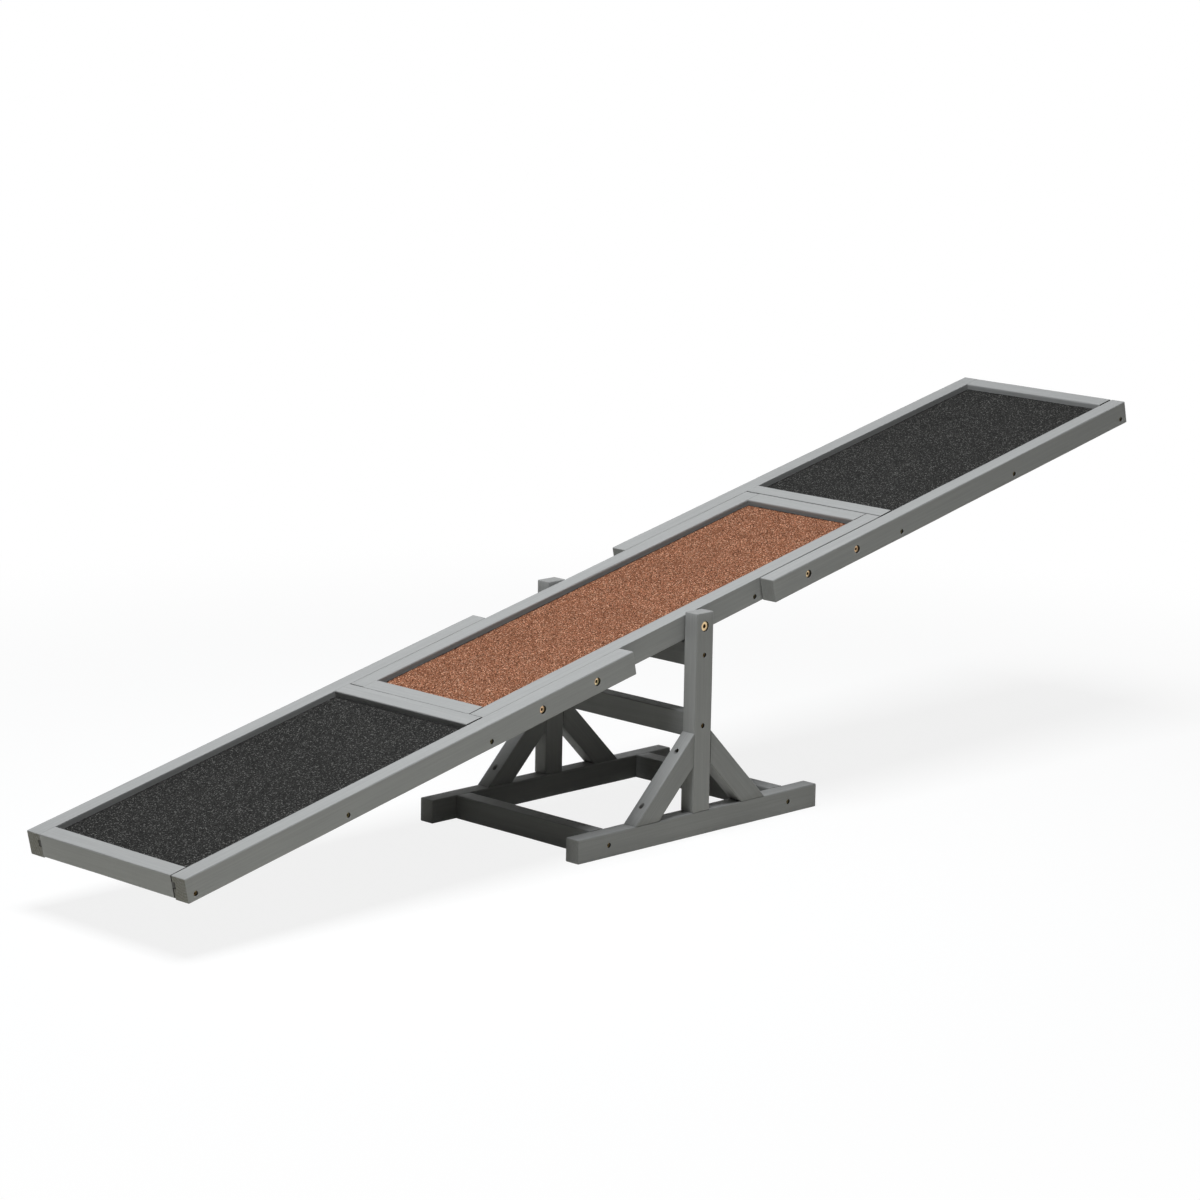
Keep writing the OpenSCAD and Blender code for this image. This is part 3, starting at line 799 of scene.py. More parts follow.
def thread(length, radius, depth, pitch):
    """Rings of a thread: the core plus the ridge, which is the square of (1 + cosine) / 2 of the phase
    between the length in turns and the angle."""
    count = max(2, round(length / pitch * THREAD_STEPS))
    along = np.linspace(0, length, count)[:, None]
    angle = np.linspace(0, 2 * math.pi, COARSE, endpoint=False)
    ridge = ((1 + np.cos(2 * math.pi * along / pitch - angle)) / 2) ** 2
    return radius - depth + depth * ridge, along + 0 * angle


def rounds(radius, length, around=COARSE):
    """Round rings from two lists, a radius and a length each."""
    return tuple(column(*part) + np.zeros(around) for part in (radius, length))


def stacked(*parts):
    """Parts of a turned shape, each a radius and a length, as one radius and one length."""
    return tuple(np.concatenate(arrays) for arrays in zip(*parts))


def cross_dip(radius):
    """How deep a cross slot is at each ring and angle: one in either arm, and less towards the arms' ends."""
    angle = np.linspace(0, 2 * math.pi, COARSE, endpoint=False)
    arms = np.abs(np.stack([radius * np.cos(angle), radius * np.sin(angle)]))
    inside = (arms.min(axis=0) < SLOT_HALF_WIDTH) & (arms.max(axis=0) < SLOT_HALF_LENGTH)
    return inside * (1 - ARM_RISE * arms.max(axis=0) / SLOT_HALF_LENGTH)


# %% A wood screw
SCREW_POINT = 3 * MM  # how long the point is
SCREW_THREAD_SHARE = 0.68  # how far the thread reaches towards the head
SCREW_THREAD_DEPTH = 0.28  # share of the shank's radius, as are the next two
SCREW_POINT_BASE = 0.75
SCREW_NECK = 0.72
HEAD_SHARES = np.array([0.93, 0.8, 0.66, 0.62, 0.5, 0.36, 0.22, 0.1, 0.02])  # rings on the head's top


def wood_screw(found):
    """Point, thread, smooth neck, cone under the head, rim and slotted top. Gives radius, length and how
    sunk each point is."""
    shank, head, seat, top = found["shank"], found["head"], found["seat"], found["top"]
    point = rounds([0.1 * MM, SCREW_POINT_BASE * shank], [0, SCREW_POINT])
    thread_end = SCREW_THREAD_SHARE * seat
    turns = thread(thread_end - SCREW_POINT, shank, SCREW_THREAD_DEPTH * shank, SCREW_PITCH)
    turns = turns[0], turns[1] + SCREW_POINT
    slim = SCREW_NECK * shank
    neck = rounds([slim, slim, shank, head - 0.1 * MM, head, head - 0.15 * MM],
                  [thread_end + MM, seat - 0.6 * MM, seat, top - 0.7 * MM, top - 0.45 * MM, top - 0.1 * MM])
    face = rounds(HEAD_SHARES * head, np.full(len(HEAD_SHARES), top))
    dip = cross_dip(face[0])
    radius, length = stacked(point, turns, neck, (face[0], face[1] - SLOT_DEPTH * dip))
    return radius, length, np.concatenate([0 * length[:-len(dip)], np.sqrt(dip)])


# %% All the wood screws


def fastener_piece(node, label, slot, shape, hollow=False):
    """One piece for all the fasteners of a node, each turned by its own random angle."""
    rng = np.random.default_rng(len(node))
    grids, sunk = [], []
    for found in FASTENERS[node]:
        radius, length, dark = shape(found)
        grids.append(turned(found["tip"], found["axis"], radius, length, rng.uniform(0, 2 * math.pi)))
        sunk.append(dark.ravel())
    piece = tube_piece(f"{node}_{label}", grids, hollow)
    store(piece.data, "place", own_points(piece.data, *body_frame(node)))
    store(piece.data, "sunk", np.concatenate(sunk))
    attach(piece, BODY_OF[node])
    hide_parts(node)
    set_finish(piece, slot)
    return piece


for node in sorted(node for node in FASTENERS if node.endswith("screws")):
    piece = fastener_piece(node, "threaded", "screw_steel", wood_screw)
    print(piece.name, len(FASTENERS[node]), "screws,", len(piece.data.polygons), "faces")

# %% [markdown]
# ## Socket bolts, inserts and washers
# The bright rings in the tongues are socket heads in yellow zinc: a knurled cylinder with a hexagon sunk in
# its top. A hexagon is a circle whose radius is divided by the cosine of the angle to the nearest flat's
# middle, so the same turned grid goes from the round rim into the six-sided socket without a cut. Inserts
# and washers are hollow: their rings go out, over the rim and back through the bore to where they began.

# %% Socket bolts
BOLT_PITCH = 1.25 * MM
KNURL = 0.12 * MM
SOCKET_SHARE = 0.4  # the hexagon's inner circle, as a share of the head
SOCKET_DEPTH = 3 * MM
SOCKET_FLOOR = np.array([0, 0.4, 0.8]) * MM  # the drill's cone below the socket, ring by ring
SOCKET_WIDTHS = (1.08, 1, 1, 1, 0.98, 0.5, 0.03)  # the socket's rings, as shares of its hexagon
HEAD_EASE = 0.5 * MM
BOLT_THREAD_SHARE = 0.72  # how far the thread reaches towards the head
BOLT_THREAD_DEPTH = 0.16  # share of the shank's radius
BOLT_FOOT = (0.7, 0.88)  # the chamfered foot, as shares of the shank's radius
BOLT_NECK = 0.97


def hexagon(around):
    """A hexagon's radius over its inner circle's, at each angle."""
    angle = np.linspace(0, 2 * math.pi, around, endpoint=False)
    return 1 / np.cos((angle + math.pi / 6) % (math.pi / 3) - math.pi / 6)


def socket_bolt(found):
    """Chamfered foot, thread, shank, underside, knurled head, eased rim and hexagon socket. Gives radius,
    length and how sunk each point is."""
    shank, head, seat, top = found["shank"], found["head"], found["seat"], found["top"]
    thread_end = BOLT_THREAD_SHARE * seat
    foot = rounds([BOLT_FOOT[0] * shank, BOLT_FOOT[1] * shank], [0, 0.6 * MM])
    turns = thread(thread_end - MM, shank, BOLT_THREAD_DEPTH * shank, BOLT_PITCH)
    turns = turns[0], turns[1] + MM
    slim = BOLT_NECK * shank
    neck = rounds([slim, slim, head - 0.4 * MM], [thread_end + MM / 2, seat, seat])
    knurl = head - KNURL * (np.arange(COARSE) % 2) + column(0, 0)
    side = knurl, column(seat + 0.4 * MM, top - HEAD_EASE - 0.1 * MM) + 0 * knurl
    rim = rounds(head - HEAD_EASE * (1 - np.cos(ROUNDING)), top - HEAD_EASE * (1 - np.sin(ROUNDING)))
    floor = SOCKET_DEPTH + SOCKET_FLOOR
    depth = column(0, 0.2 * MM, 0.25 * SOCKET_DEPTH, 0.6 * SOCKET_DEPTH, *floor) + np.zeros(COARSE)
    inner = SOCKET_SHARE * head * hexagon(COARSE) * column(*SOCKET_WIDTHS)
    radius, length = stacked(foot, turns, neck, side, rim, (inner, top - depth))
    return radius, length, np.concatenate([0 * length[:-len(depth)], np.minimum(2 * depth / SOCKET_DEPTH, 1)])


for node in ("tongue_bolts", "pivot_bolts"):
    piece = fastener_piece(node, "socketed", "yellow_zinc", socket_bolt)
    print(piece.name, len(piece.data.polygons), "faces")

# %% Inserts and washers
RIM_EASE = 0.25 * MM
INSERT_PITCH = 3.2 * MM
INSERT_THREAD_DEPTH = 0.12  # share of the outer radius


def sleeve(found):
    """A coarse-threaded sleeve: out along the thread, over the rim and back down its bore."""
    top, bore, outer = found["top"], found["bore"], found["head"]
    turns = thread(top - MM, outer, INSERT_THREAD_DEPTH * outer, INSERT_PITCH)
    start = rounds([bore, bore + RIM_EASE], [RIM_EASE, 0])
    back = rounds([bore + RIM_EASE, bore], [top, top - RIM_EASE])
    radius, length = stacked(start, (turns[0], turns[1] + MM / 2), back)
    return radius, length, 0 * length


def flat_ring(found):
    """A washer: a thin ring with all four edges eased."""
    top, bore, outer = found["top"], found["bore"], found["head"]
    radius, length = rounds(
        [bore, bore + RIM_EASE, outer - RIM_EASE, outer, outer, outer - RIM_EASE, bore + RIM_EASE, bore],
        [RIM_EASE, 0, 0, RIM_EASE, top - RIM_EASE, top, top, top - RIM_EASE], FINE)
    return radius, length, 0 * length


for node in ("tongue_inserts", "pivot_inserts"):
    fastener_piece(node, "sleeves", "yellow_zinc", sleeve, hollow=True)
piece = fastener_piece("pivot_washers", "eased", "washer_zinc", flat_ring, hollow=True)

# %% [markdown]
# ## Building materials from node groups
# Shader nodes are easier to read when each is one line. The helper adds a node, sets its properties, and
# then fills each input with a number or links it to another node's output.

# %% Nodes for sums, colours and noise


def add(tree, kind, props=None, **inputs):
    """Adds a node. An input is named with _ for a space, or i0, i1 and so on by its place."""
    node = tree.nodes.new(f"ShaderNode{kind}")
    for name, value in (props or {}).items():
        setattr(node, name, value)
    for name, value in inputs.items():
        by_place = name[0] == "i" and name[1:].isdigit()
        socket = node.inputs[int(name[1:]) if by_place else name.replace("_", " ")]
        if isinstance(value, bpy.types.NodeSocket):
            tree.links.new(value, socket)
        else:
            socket.default_value = value
    return node


def maths(tree, operation, first, second=0.0, third=0.0):
    """One Math node's output."""
    return add(tree, "Math", {"operation": operation}, i0=first, i1=second, i2=third).outputs[0]


def times(tree, first, second):
    """The product of two values."""
    return maths(tree, "MULTIPLY", first, second)


def times_plus(tree, first, second, third):
    """The product of two values plus a third."""
    return maths(tree, "MULTIPLY_ADD", first, second, third)


def blend_colours(tree, share, first, second, mode="MIX"):
    """One colour Mix node's output."""
    kind = {"data_type": "RGBA", "blend_type": mode}
    return add(tree, "Mix", kind, i0=share, i6=first, i7=second).outputs[2]


def tinted(tree, colour, value):
    """A colour times a value."""
    grey = add(tree, "CombineColor", i0=value, i1=value, i2=value).outputs[0]
    return blend_colours(tree, 1.0, colour, grey, "MULTIPLY")


def ranged(tree, value, low, high, out_low=0.0, out_high=1.0):
    """A value moved from one range to another, clamped and eased at both ends."""
    kind = {"interpolation_type": "SMOOTHSTEP"}
    return add(tree, "MapRange", kind, Value=value, i1=low, i2=high, i3=out_low, i4=out_high).outputs[0]


def noise(tree, vector, scale, detail=2.0, rough=0.5):
    """One Noise Texture's grey output. Its scale is in blotches per metre."""
    return add(tree, "TexNoise", Vector=vector, Scale=scale, Detail=detail, Roughness=rough).outputs["Fac"]


def streaky(tree, vector, scales, detail=3.0):
    """Noise whose blotches per metre differ from axis to axis: few along the grain and many across it."""
    return noise(tree, add(tree, "Mapping", Vector=vector, Scale=scales).outputs[0], 1.0, detail)


# %% Groups and materials
SOCKET_KINDS = {"v": "NodeSocketVector", "f": "NodeSocketFloat", "c": "NodeSocketColor"}


def new_group(name, inputs, outputs):
    """An empty node group. Inputs and outputs are names with v, f or c for vector, number or colour."""
    tree = bpy.data.node_groups.new(name, "ShaderNodeTree")
    for names, direction in ((inputs, "INPUT"), (outputs, "OUTPUT")):
        for socket, kind in names.items():
            tree.interface.new_socket(socket, in_out=direction, socket_type=SOCKET_KINDS[kind])
    return tree, tree.nodes.new("NodeGroupInput").outputs, tree.nodes.new("NodeGroupOutput").inputs


def use(tree, group, **inputs):
    """Places a node group in a material and fills its inputs."""
    return add(tree, "Group", {"node_tree": group}, **inputs).outputs


def new_material(name):
    """An empty material with its tree and its Principled shader."""
    material = bpy.data.materials.new(name)
    material.use_nodes = True
    return material, material.node_tree, material.node_tree.nodes["Principled BSDF"]


def link(tree, shader, **sources):
    """Links outputs to the shader's inputs by name."""
    for name, source in sources.items():
        tree.links.new(source, shader.inputs[name.replace("_", " ")])


def bump(tree, height, distance, strength):
    """A Bump node's output, with its height in metres."""
    return add(tree, "Bump", Height=height, Distance=distance, Strength=strength).outputs[0]


def stored(tree, name, kind="Fac"):
    """A number, or with kind Vector a vector, that is stored on the piece's own points."""
    return add(tree, "Attribute", {"attribute_name": name}).outputs[kind]


# %% [markdown]
# ## Softwood under paint
# Growth rings are cylinders round the tree's heart, wavering along its length. Asked at a point inside the
# stick, one formula gives long streaks on its faces and arcs on its ends, as in real wood. The paint hides
# the colour of the rings but not their relief: the hard late wood stands a little proud.

# %% Timber grain group
RING_WAVES = (2.2, 34, 34)
FIBRES = (18, 900, 900)

tree, given, result = new_group(
    "timber_grain", {"Place": "v", "Ring Width": "f", "Waver": "f"}, {"Rings": "f", "Fibres": "f"})
long_wave = streaky(tree, given["Place"], RING_WAVES)
parts = add(tree, "SeparateXYZ", Vector=given["Place"]).outputs
squares = maths(tree, "ADD", times(tree, parts[1], parts[1]), times(tree, parts[2], parts[2]))
heart = maths(tree, "SQRT", squares)
wavering = times_plus(tree, long_wave, given["Waver"], heart)
phase = maths(tree, "FRACT", maths(tree, "DIVIDE", wavering, given["Ring Width"]))
late = times(tree, ranged(tree, phase, 0.25, 0.92), ranged(tree, phase, 1.0, 0.93))
tree.links.new(late, result["Rings"])
tree.links.new(streaky(tree, given["Place"], FIBRES), result["Fibres"])
timber_grain = tree
print("nodes in the grain group:", len(tree.nodes))

# %% Edge wear group
WEAR_POWER = 3.0  # the higher, the closer wear keeps to the edge

tree, given, result = new_group(
    "edge_wear", {"Place": "v", "Edge": "f", "Patch Size": "f"}, {"Wear": "f"})
density = maths(tree, "DIVIDE", 1.0, given["Patch Size"])
patches = noise(tree, given["Place"], density, detail=4.0, rough=0.6)
reach = maths(tree, "POWER", given["Edge"], WEAR_POWER)
tree.links.new(times(tree, reach, ranged(tree, patches, 0.45, 0.7)), result["Wear"])
edge_wear = tree
print("nodes in the wear group:", len(tree.nodes))

# %% [markdown]
# ## Grey paint
# The paint is a thin satin grey, a touch warmer on the ends, where the open grain drinks it and dries rough
# and dark. Brush marks streak it, and it dried with a fine orange peel. The colours are mixed from the
# groups' masks, a painted shade for each stick darkens them, bores, grooves and butted ends go to a painted
# shade, and one Bump node shows the relief of rings, fibres and peel.

# %% Painted timber
PAINT = (0.345, 0.350, 0.347, 1)
PAINT_STREAK = (0.326, 0.331, 0.328, 1)
PAINT_PALE = (0.395, 0.400, 0.396, 1)
PAINT_BRUSHED = (0.275, 0.279, 0.276, 1)
PAINT_END = (0.225, 0.22, 0.196, 1)
PAINT_END_RING = (0.175, 0.17, 0.149, 1)
# the painted shade in cuts and at butted ends
RECESS_SHADE = (0.025, 0.023, 0.02, 1)
RING_WIDTH = 4.2 * MM
RING_WAVER = 9 * MM
WEAR_PATCH = 14 * MM
CLOUDS = (9, 40, 40)
BRUSH_MARKS = (9, 380, 380)
SPECKLES, GLOSS_PATCHES, ORANGE_PEEL = 420.0, 160.0, 700.0
FIBRE_SHARE, BRUSH_DARK, BRUSH_PALE = 0.35, 0.18, 0.25
WEAR_SHARE, SPECKLE_SHARE, RECESS_SHADE_SHARE = 0.5, 0.6, 0.9
RING_RELIEF, FIBRE_RELIEF, PEEL_RELIEF, END_RELIEF = 0.5, 0.55, 0.5, 1.5
PAINT_RELIEF = 0.09 * MM
END_ROUGHER = 0.2
MATT_SPECULAR = 0.12

timber, tree, shader = new_material("grey_paint_on_softwood")
place = stored(tree, "place", "Vector")
end = stored(tree, "end_grain")
grain = use(tree, timber_grain, Place=place, Ring_Width=RING_WIDTH, Waver=RING_WAVER)
wear = use(tree, edge_wear, Place=place, Edge=stored(tree, "edge"), Patch_Size=WEAR_PATCH)["Wear"]
cloud = streaky(tree, place, CLOUDS)
streaks = times(tree, grain["Rings"], ranged(tree, cloud, 0.3, 0.75, 0.15, 0.6))
face = blend_colours(tree, streaks, PAINT, PAINT_STREAK)
face = blend_colours(tree, ranged(tree, grain["Fibres"], 0.52, 0.75, 0.0, FIBRE_SHARE), face, PAINT_PALE)
brushed = streaky(tree, place, BRUSH_MARKS, detail=2.0)
face = blend_colours(tree, ranged(tree, brushed, 0.45, 0.68, 0.0, BRUSH_DARK), face, PAINT_BRUSHED)
face = blend_colours(tree, ranged(tree, brushed, 0.5, 0.35, 0.0, BRUSH_PALE), face, PAINT_PALE)
face = blend_colours(tree, times(tree, wear, WEAR_SHARE), face, PAINT_PALE)
cut = blend_colours(tree, grain["Rings"], PAINT_END, PAINT_END_RING)
speckle = noise(tree, place, SPECKLES, detail=3.0)
cut = blend_colours(tree, ranged(tree, speckle, 0.45, 0.75, 0.0, SPECKLE_SHARE), cut, PAINT_STREAK)
end_share = times(tree, end, ranged(tree, cloud, 0.2, 0.6, 0.7, 0.95))
# the stick's painted shade darkens its whole coat
coat = tinted(tree, blend_colours(tree, end_share, face, cut), stored(tree, "stick_shade"))
# bores, grooves and butted ends go dark: painted shade
painted_recess_shade = times(tree, stored(tree, "sunk"), RECESS_SHADE_SHARE)
link(tree, shader, Base_Color=blend_colours(tree, painted_recess_shade, coat, RECESS_SHADE))
rough = ranged(tree, noise(tree, place, GLOSS_PATCHES, detail=3.0), 0.3, 0.7, 0.5, 0.62)
link(tree, shader, Roughness=times_plus(tree, end, END_ROUGHER, rough))
relief = times_plus(tree, grain["Rings"], RING_RELIEF, times(tree, grain["Fibres"], FIBRE_RELIEF))
relief = times_plus(tree, noise(tree, place, ORANGE_PEEL), PEEL_RELIEF, relief)
relief = times_plus(tree, times(tree, speckle, end), END_RELIEF, relief)
link(tree, shader, Normal=bump(tree, relief, PAINT_RELIEF, 0.8))
shader.inputs["Specular IOR Level"].default_value = MATT_SPECULAR
print("nodes in the paint:", len(tree.nodes))

# %% [markdown]
# ## Boards seen from below
# The boards are plywood with the same grey paint, thinner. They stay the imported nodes, because a flat board
# is already the right shape. They have no attributes of their own, so their pattern reads Object
# coordinates, and a Mapping node turns these by the rest tilt to follow the plank.

# %% Painted board
BOARD_PAINT = (0.2, 0.2, 0.195, 1)
BOARD_THIN = (0.26, 0.235, 0.19, 1)
BOARD_FIBRES = (14, 420, 420)
BOARD_CLOUDS = (7, 16, 16)
BOARD_RELIEF = 0.12 * MM

board_paint, tree, shader = new_material("thin_grey_paint_on_plywood")
here = add(tree, "TexCoord").outputs["Object"]
own = add(tree, "Mapping", Vector=here, Rotation=(0, REST_TILT, 0)).outputs[0]
board_fibres = streaky(tree, own, BOARD_FIBRES, detail=4.0)
board_cloud = streaky(tree, own, BOARD_CLOUDS)
thin = times(tree, ranged(tree, board_fibres, 0.5, 0.7), ranged(tree, board_cloud, 0.4, 0.7))
link(tree, shader, Base_Color=blend_colours(tree, thin, BOARD_PAINT, BOARD_THIN))
link(tree, shader, Roughness=ranged(tree, board_cloud, 0.3, 0.7, 0.6, 0.75))
link(tree, shader, Normal=bump(tree, board_fibres, BOARD_RELIEF, 0.7))
print("nodes in the boards' paint:", len(tree.nodes))

# %% [markdown]
# ## Granules
# Crushed stone comes in shades, and each stone has one. A Voronoi texture is right for this: its cells are
# the stones, its random colour picks each stone's shade, and the distance from the cell's middle gives a
# stone its rounded top. The same group makes the charcoal and the red-brown sheets from different shades.

# %% Granule group
JITTER_SCALE, JITTER = 900.0, 0.6 * MM  # makes the stones' outlines ragged
DARKEST, IN_SHADE, BRIGHTEST, CREVICE_SHADE = 0.8, 0.85, 0.9, 0.8  # how far a stone goes towards each shade

tree, given, result = new_group(
    "granules",
    {"Place": "v", "Size": "f", "Bed": "c", "Dark": "c", "Body": "c", "Light": "c", "Light Share": "f",
     "Dark Share": "f"},
    {"Color": "c", "Height": "f", "Gloss": "f"})
jitter = add(tree, "TexNoise", Vector=given["Place"], Scale=JITTER_SCALE, Detail=1.0).outputs["Color"]
moved = add(tree, "VectorMath", {"operation": "MULTIPLY_ADD"}, i0=jitter, i1=(JITTER,) * 3, i2=given["Place"])
density = maths(tree, "DIVIDE", 1.0, given["Size"])
cells = add(tree, "TexVoronoi", Vector=moved.outputs[0], Scale=density, Randomness=1.0).outputs
pick = add(tree, "SeparateColor", Color=cells["Color"]).outputs
shade_share = ranged(tree, pick[0], 0.0, 1.0)
colour = blend_colours(tree, times(tree, shade_share, DARKEST), given["Body"], given["Dark"])
is_light = maths(tree, "LESS_THAN", pick[1], given["Light Share"])
is_dark = maths(tree, "LESS_THAN", pick[2], given["Dark Share"])
colour = blend_colours(tree, times(tree, is_dark, IN_SHADE), colour, given["Bed"])
colour = blend_colours(tree, times(tree, is_light, BRIGHTEST), colour, given["Light"])
# towards a stone's rim its colour goes to the bed: painted shade in the crevices between stones
dome = ranged(tree, cells["Distance"], 0.75, 0.15)
colour = blend_colours(tree, ranged(tree, dome, 0.35, 0.0, 0.0, CREVICE_SHADE), colour, given["Bed"])
tree.links.new(colour, result["Color"])
tree.links.new(times_plus(tree, dome, pick[1], times(tree, dome, 0.6)), result["Height"])
tree.links.new(times(tree, is_light, dome), result["Gloss"])
granules = tree
print("nodes in the granule group:", len(tree.nodes))

# %% Granule materials
GRANULE_SIZE = 1.5 * MM
CLUMPS_PER_METRE = 520.0
DRIFTS_PER_METRE = 38.0
STONE_RELIEF = 0.5 * MM
STONE_ROUGHNESS = 0.92
STONE_GLOSS = -0.35  # how much smoother the light stones are
# black backing at the sheet's edge, also painted shade for the gap
BACKING_AND_SHADE = (0.008, 0.008, 0.008, 1)
CHARCOAL = {
    "bed": (0.006, 0.006, 0.006, 1),
    "dark": (0.0135, 0.0135, 0.0128, 1),
    "body": (0.036, 0.036, 0.0342, 1),
    "light": (0.11, 0.11, 0.105, 1),
    "light_share": 0.14,
    "dark_share": 0.25,
}
TERRACOTTA = {
    "bed": (0.078, 0.026, 0.013, 1),
    "dark": (0.18, 0.068, 0.036, 1),
    "body": (0.385, 0.168, 0.094, 1),
    "light": (0.60, 0.345, 0.222, 1),
    "light_share": 0.15,
    "dark_share": 0.19,
}


def granule_material(name, bed, dark, body, light, light_share, dark_share):
    """A mineral sheet in the given shades. Its tone varies by clumps and drifts over the sheet."""
    material, tree, shader = new_material(name)
    place = stored(tree, "place", "Vector")
    stones = use(tree, granules, Place=place, Size=GRANULE_SIZE, Bed=bed, Dark=dark, Body=body, Light=light,
                 Light_Share=light_share, Dark_Share=dark_share)
    clump = ranged(tree, noise(tree, place, CLUMPS_PER_METRE), 0.34, 0.66, 0.48, 1.52)
    drift = ranged(tree, noise(tree, place, DRIFTS_PER_METRE, detail=4.0), 0.3, 0.7, 0.92, 1.06)
    stone = tinted(tree, stones["Color"], times(tree, drift, clump))
    # the edge strip goes to black backing, which also stands for the shade in the gap: painted shade
    bare = ranged(tree, stored(tree, "bare"), 0.1, 0.7)
    link(tree, shader, Base_Color=blend_colours(tree, bare, stone, BACKING_AND_SHADE))
    link(tree, shader, Roughness=times_plus(tree, stones["Gloss"], STONE_GLOSS, STONE_ROUGHNESS))
    link(tree, shader, Normal=bump(tree, stones["Height"], STONE_RELIEF, 0.7))
    shader.inputs["Specular IOR Level"].default_value = MATT_SPECULAR
    return material


charcoal = granule_material("charcoal_granules", **CHARCOAL)
terracotta = granule_material("brown_granules", **TERRACOTTA)
print("made:", charcoal.name, "and", terracotta.name)

# %% [markdown]
# ## Plated metal
# The bolts are zinc with a yellow passivation, a film so thin that its tint drifts; the washers are plain
# zinc, and the wood screws a duller yellow. One group gives a colour that drifts between two tints, and a
# roughness that follows fine scratches. Sockets and slots get little light, so a mask darkens them with a
# painted shade.

# %% Plating group and metals
# painted shade for sockets and slots
SLOT_SHADE = (0.05, 0.034, 0.017, 1)
TINT_DRIFTS, SCRATCHES = 30.0, 1600.0
DIRT_ROUGHER = 0.4

tree, given, result = new_group(
    "plating", {"Place": "v", "Sunk": "f", "First": "c", "Second": "c", "Low Rough": "f", "High Rough": "f"},
    {"Color": "c", "Roughness": "f"})
film = noise(tree, given["Place"], TINT_DRIFTS, detail=3.0)
scratch = noise(tree, given["Place"], SCRATCHES, detail=4.0, rough=0.7)
tint = blend_colours(tree, ranged(tree, film, 0.4, 0.6), given["First"], given["Second"])
# sockets and slots darken by the sunk mask, patchy with the scratches: painted shade
slot_shade = times(tree, given["Sunk"], ranged(tree, scratch, 0.1, 0.5, 0.7, 0.9))
tree.links.new(blend_colours(tree, slot_shade, tint, SLOT_SHADE), result["Color"])
rise = maths(tree, "SUBTRACT", given["High Rough"], given["Low Rough"])
rough = times_plus(tree, ranged(tree, scratch, 0.35, 0.7), rise, given["Low Rough"])
tree.links.new(times_plus(tree, given["Sunk"], DIRT_ROUGHER, rough), result["Roughness"])
plating = tree


def metal(name, first, second, low_rough, high_rough):
    """A plated metal whose film drifts between two tints."""
    material, tree, shader = new_material(name)
    film = use(tree, plating, Place=stored(tree, "place", "Vector"), Sunk=stored(tree, "sunk"), First=first,
               Second=second, Low_Rough=low_rough, High_Rough=high_rough)
    link(tree, shader, Base_Color=film["Color"], Roughness=film["Roughness"])
    shader.inputs["Metallic"].default_value = 1.0
    return material


METALS = {
    "yellow_zinc": metal("yellow_zinc", (0.76, 0.50, 0.28, 1), (0.72, 0.62, 0.35, 1), 0.25, 0.4),
    "screw_steel": metal("dull_yellow_zinc", (0.42, 0.30, 0.14, 1), (0.36, 0.31, 0.17, 1), 0.32, 0.5),
    "washer_zinc": metal("plain_zinc", (0.5, 0.5, 0.49, 1), (0.42, 0.43, 0.43, 1), 0.3, 0.45),
}
print("metals:", ", ".join(METALS))

# %% Hand out the materials
BY_SLOT = {"painted_timber": timber, "charcoal_granules": charcoal, "brown_granules": terracotta, **METALS}
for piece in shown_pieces():
    material = board_paint if "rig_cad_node" in piece else BY_SLOT[piece["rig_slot"]]
    piece.data.materials.clear()
    piece.data.materials.append(material)

# %% [markdown]
# ## Floor and light
# The photograph was taken on a white floor under one big soft light. Tops are pale, the outer sides get as
# much light from the floor as from above, and what stands under the plank is dark, because the floor there
# lies in shade. The floor looks white to the camera and in reflections; only near the seesaw does its
# shadow show.

# %% Floor
FLOOR_SIZE = 30.0
FLOOR_BOUNCE = (0.77, 0.76, 0.695, 1)
FLOOR_SEEN = (0.93, 0.93, 0.93, 1)
SHADOW_SHARE = 0.14
SHADOW_NEAR, SHADOW_FAR = 0.9, 2.0  # the shadow fades out between these distances
FLOOR_LEVEL = -0.1 * MM  # just below the runners' planed faces


def seen_directly(tree):
    """One for rays from the camera and for reflections and refractions, zero for all other light."""
    path = add(tree, "LightPath").outputs
    direct = maths(tree, "MAXIMUM", path["Is Camera Ray"], path["Is Glossy Ray"])
    return maths(tree, "MAXIMUM", direct, path["Is Transmission Ray"])


corners = np.array([[-1, -1], [1, -1], [1, 1], [-1, 1]]) * FLOOR_SIZE / 2
floor = new_piece("floor", [(x, y, FLOOR_LEVEL) for x, y in corners.tolist()], [(0, 1, 2, 3)])
floor_paint, tree, shader = new_material("white_floor")
seen = seen_directly(tree)
link(tree, shader, Base_Color=blend_colours(tree, seen, FLOOR_BOUNCE, FLOOR_SEEN))
shader.inputs["Roughness"].default_value = 1.0
shader.inputs["Specular IOR Level"].default_value = 0.0
white = add(tree, "Emission", Color=(1, 1, 1, 1), Strength=1.0).outputs[0]
from_middle = add(tree, "VectorMath", {"operation": "LENGTH"}, i0=add(tree, "TexCoord").outputs["Object"])
fade = ranged(tree, from_middle.outputs["Value"], SHADOW_NEAR, SHADOW_FAR, 1 - SHADOW_SHARE, 1.0)
mixed = add(tree, "MixShader", i0=times(tree, seen, fade), i1=shader.outputs[0], i2=white).outputs[0]
tree.links.new(mixed, tree.nodes["Material Output"].inputs["Surface"])
floor.data.materials.append(floor_paint)
print("floor, m:", FLOOR_SIZE)

# %% World
SKY_STRENGTH = 0.06
HORIZON_STRENGTH = 0.01
SKY_HEIGHT = 0.7  # the light grows from the horizon up to here

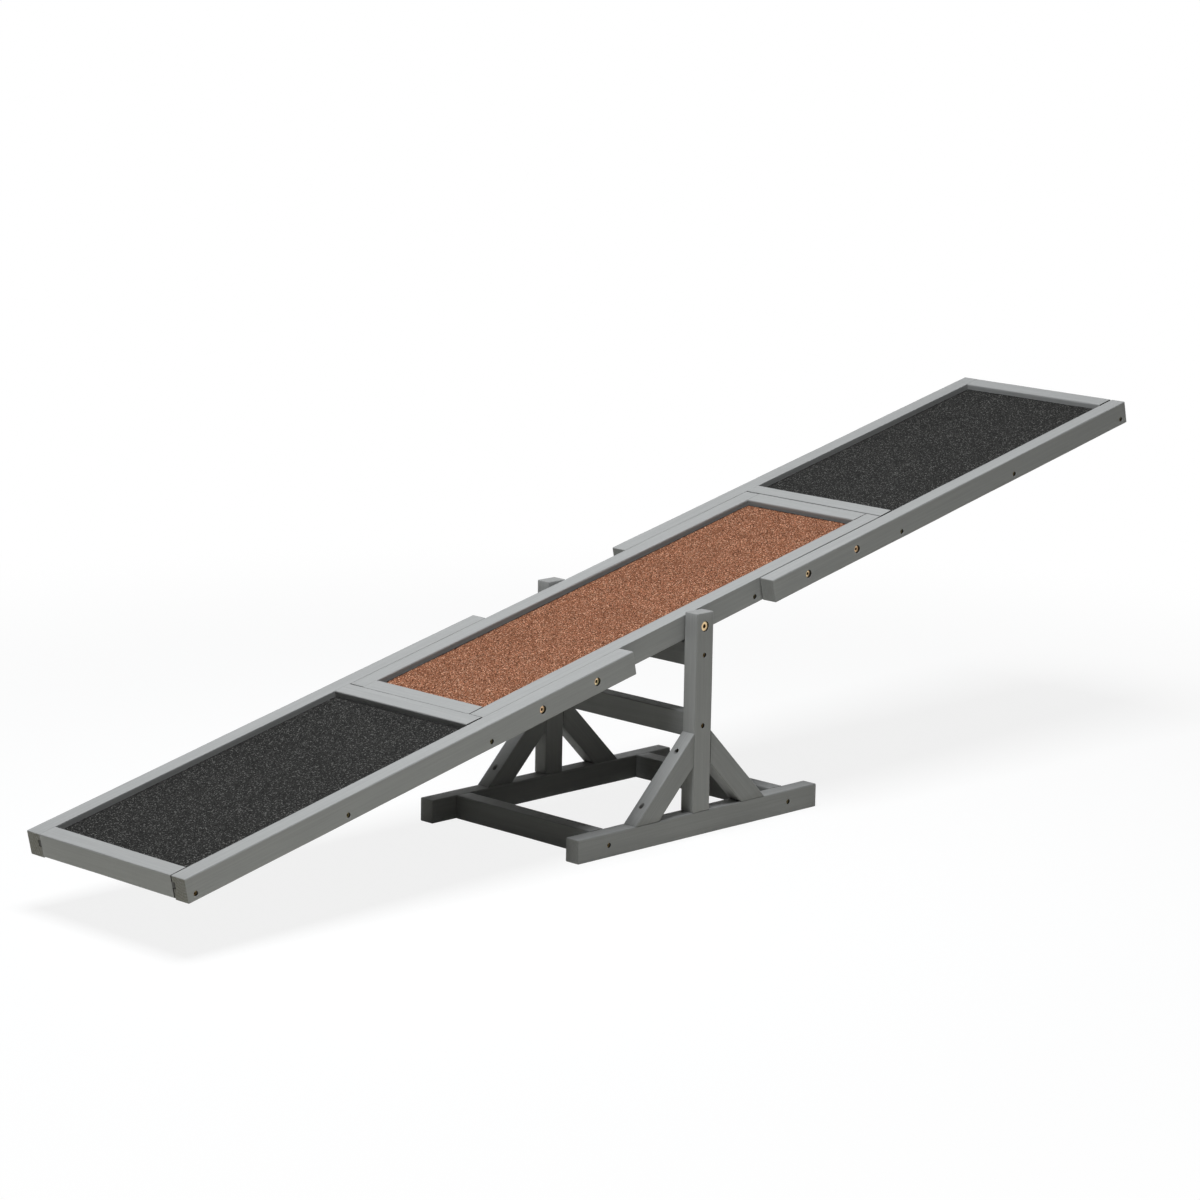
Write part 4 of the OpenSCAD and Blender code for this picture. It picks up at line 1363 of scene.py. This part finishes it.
world = bpy.data.worlds.new("studio")
bpy.context.scene.world = world
world.use_nodes = True
tree = world.node_tree
height = add(tree, "SeparateXYZ", Vector=add(tree, "TexCoord").outputs["Generated"]).outputs[2]
dome = ranged(tree, height, 0.0, SKY_HEIGHT, HORIZON_STRENGTH, SKY_STRENGTH)
strength = add(tree, "Mix", {"data_type": "FLOAT"}, i0=seen_directly(tree), i2=dome, i3=1.0).outputs[0]
background = tree.nodes["Background"]
background.inputs["Color"].default_value = (1, 1, 1, 1)
tree.links.new(strength, background.inputs["Strength"])
print("nodes in the world:", len(tree.nodes))

# %% The lamp
LAMP_PLACE = (-0.8, -0.3, 3.2)
LAMP_AIM = (-0.1, 0, 0.3)
LAMP_SIZE = 1.3
LAMP_POWER = 118
LAMP_COLOUR = (0.966, 0.983, 1.0)


def placed(turn, place):
    """A world matrix from three unit columns and a place."""
    return Matrix([[*turn[row], place[row]] for row in range(3)] + [[0, 0, 0, 1]])


lamp = bpy.data.lights.new("overhead", "AREA")
lamp.size, lamp.energy, lamp.color = LAMP_SIZE, LAMP_POWER, LAMP_COLOUR
holder = bpy.data.objects.new("overhead", lamp)
axis = np.array(LAMP_PLACE, float) - np.array(LAMP_AIM, float)
holder.matrix_world = placed(across_axis(axis / np.linalg.norm(axis)), LAMP_PLACE)
bpy.context.scene.collection.objects.link(holder)
print("lamp to its aim, m:", round(float(np.linalg.norm(axis)), 2))

# %% [markdown]
# ## Camera
# The view was found by matching corners of the seesaw in the photograph: a long lens some five metres away,
# low, looking along the plank from its lower left, with the horizon rolled by a degree.

# %% Camera
CAMERA_AZIMUTH = math.radians(45.4708)
CAMERA_ELEVATION = math.radians(11.6285)
CAMERA_ROLL = math.radians(-1.0811)
CAMERA_DISTANCE = 5.4956
CAMERA_TARGET = np.array([-0.046, 0.0, 0.29946])
FOCAL_SHARE = 4150.706 / 1200  # focal length over the picture's width
SENSOR = 36.0
CLIP_START, CLIP_END = 0.1, 60.0

away = np.array([-math.sin(CAMERA_AZIMUTH) * math.cos(CAMERA_ELEVATION),
                 -math.cos(CAMERA_AZIMUTH) * math.cos(CAMERA_ELEVATION), math.sin(CAMERA_ELEVATION)])
right = np.cross([0, 0, 1], away)
right /= np.linalg.norm(right)
up = np.cross(away, right)
rolled_right = math.cos(CAMERA_ROLL) * right - math.sin(CAMERA_ROLL) * up
rolled_up = math.cos(CAMERA_ROLL) * up + math.sin(CAMERA_ROLL) * right

lens = bpy.data.cameras.new("photograph")
lens.sensor_width, lens.lens = SENSOR, FOCAL_SHARE * SENSOR
lens.clip_start, lens.clip_end = CLIP_START, CLIP_END
camera = bpy.data.objects.new("photograph", lens)
spot = CAMERA_TARGET + CAMERA_DISTANCE * away
camera.matrix_world = placed(np.stack([rolled_right, rolled_up, away], axis=1), spot)
bpy.context.scene.collection.objects.link(camera)
bpy.context.scene.camera = camera
bpy.context.scene.view_settings.view_transform = "Standard"
print("lens, mm:", round(lens.lens, 2))
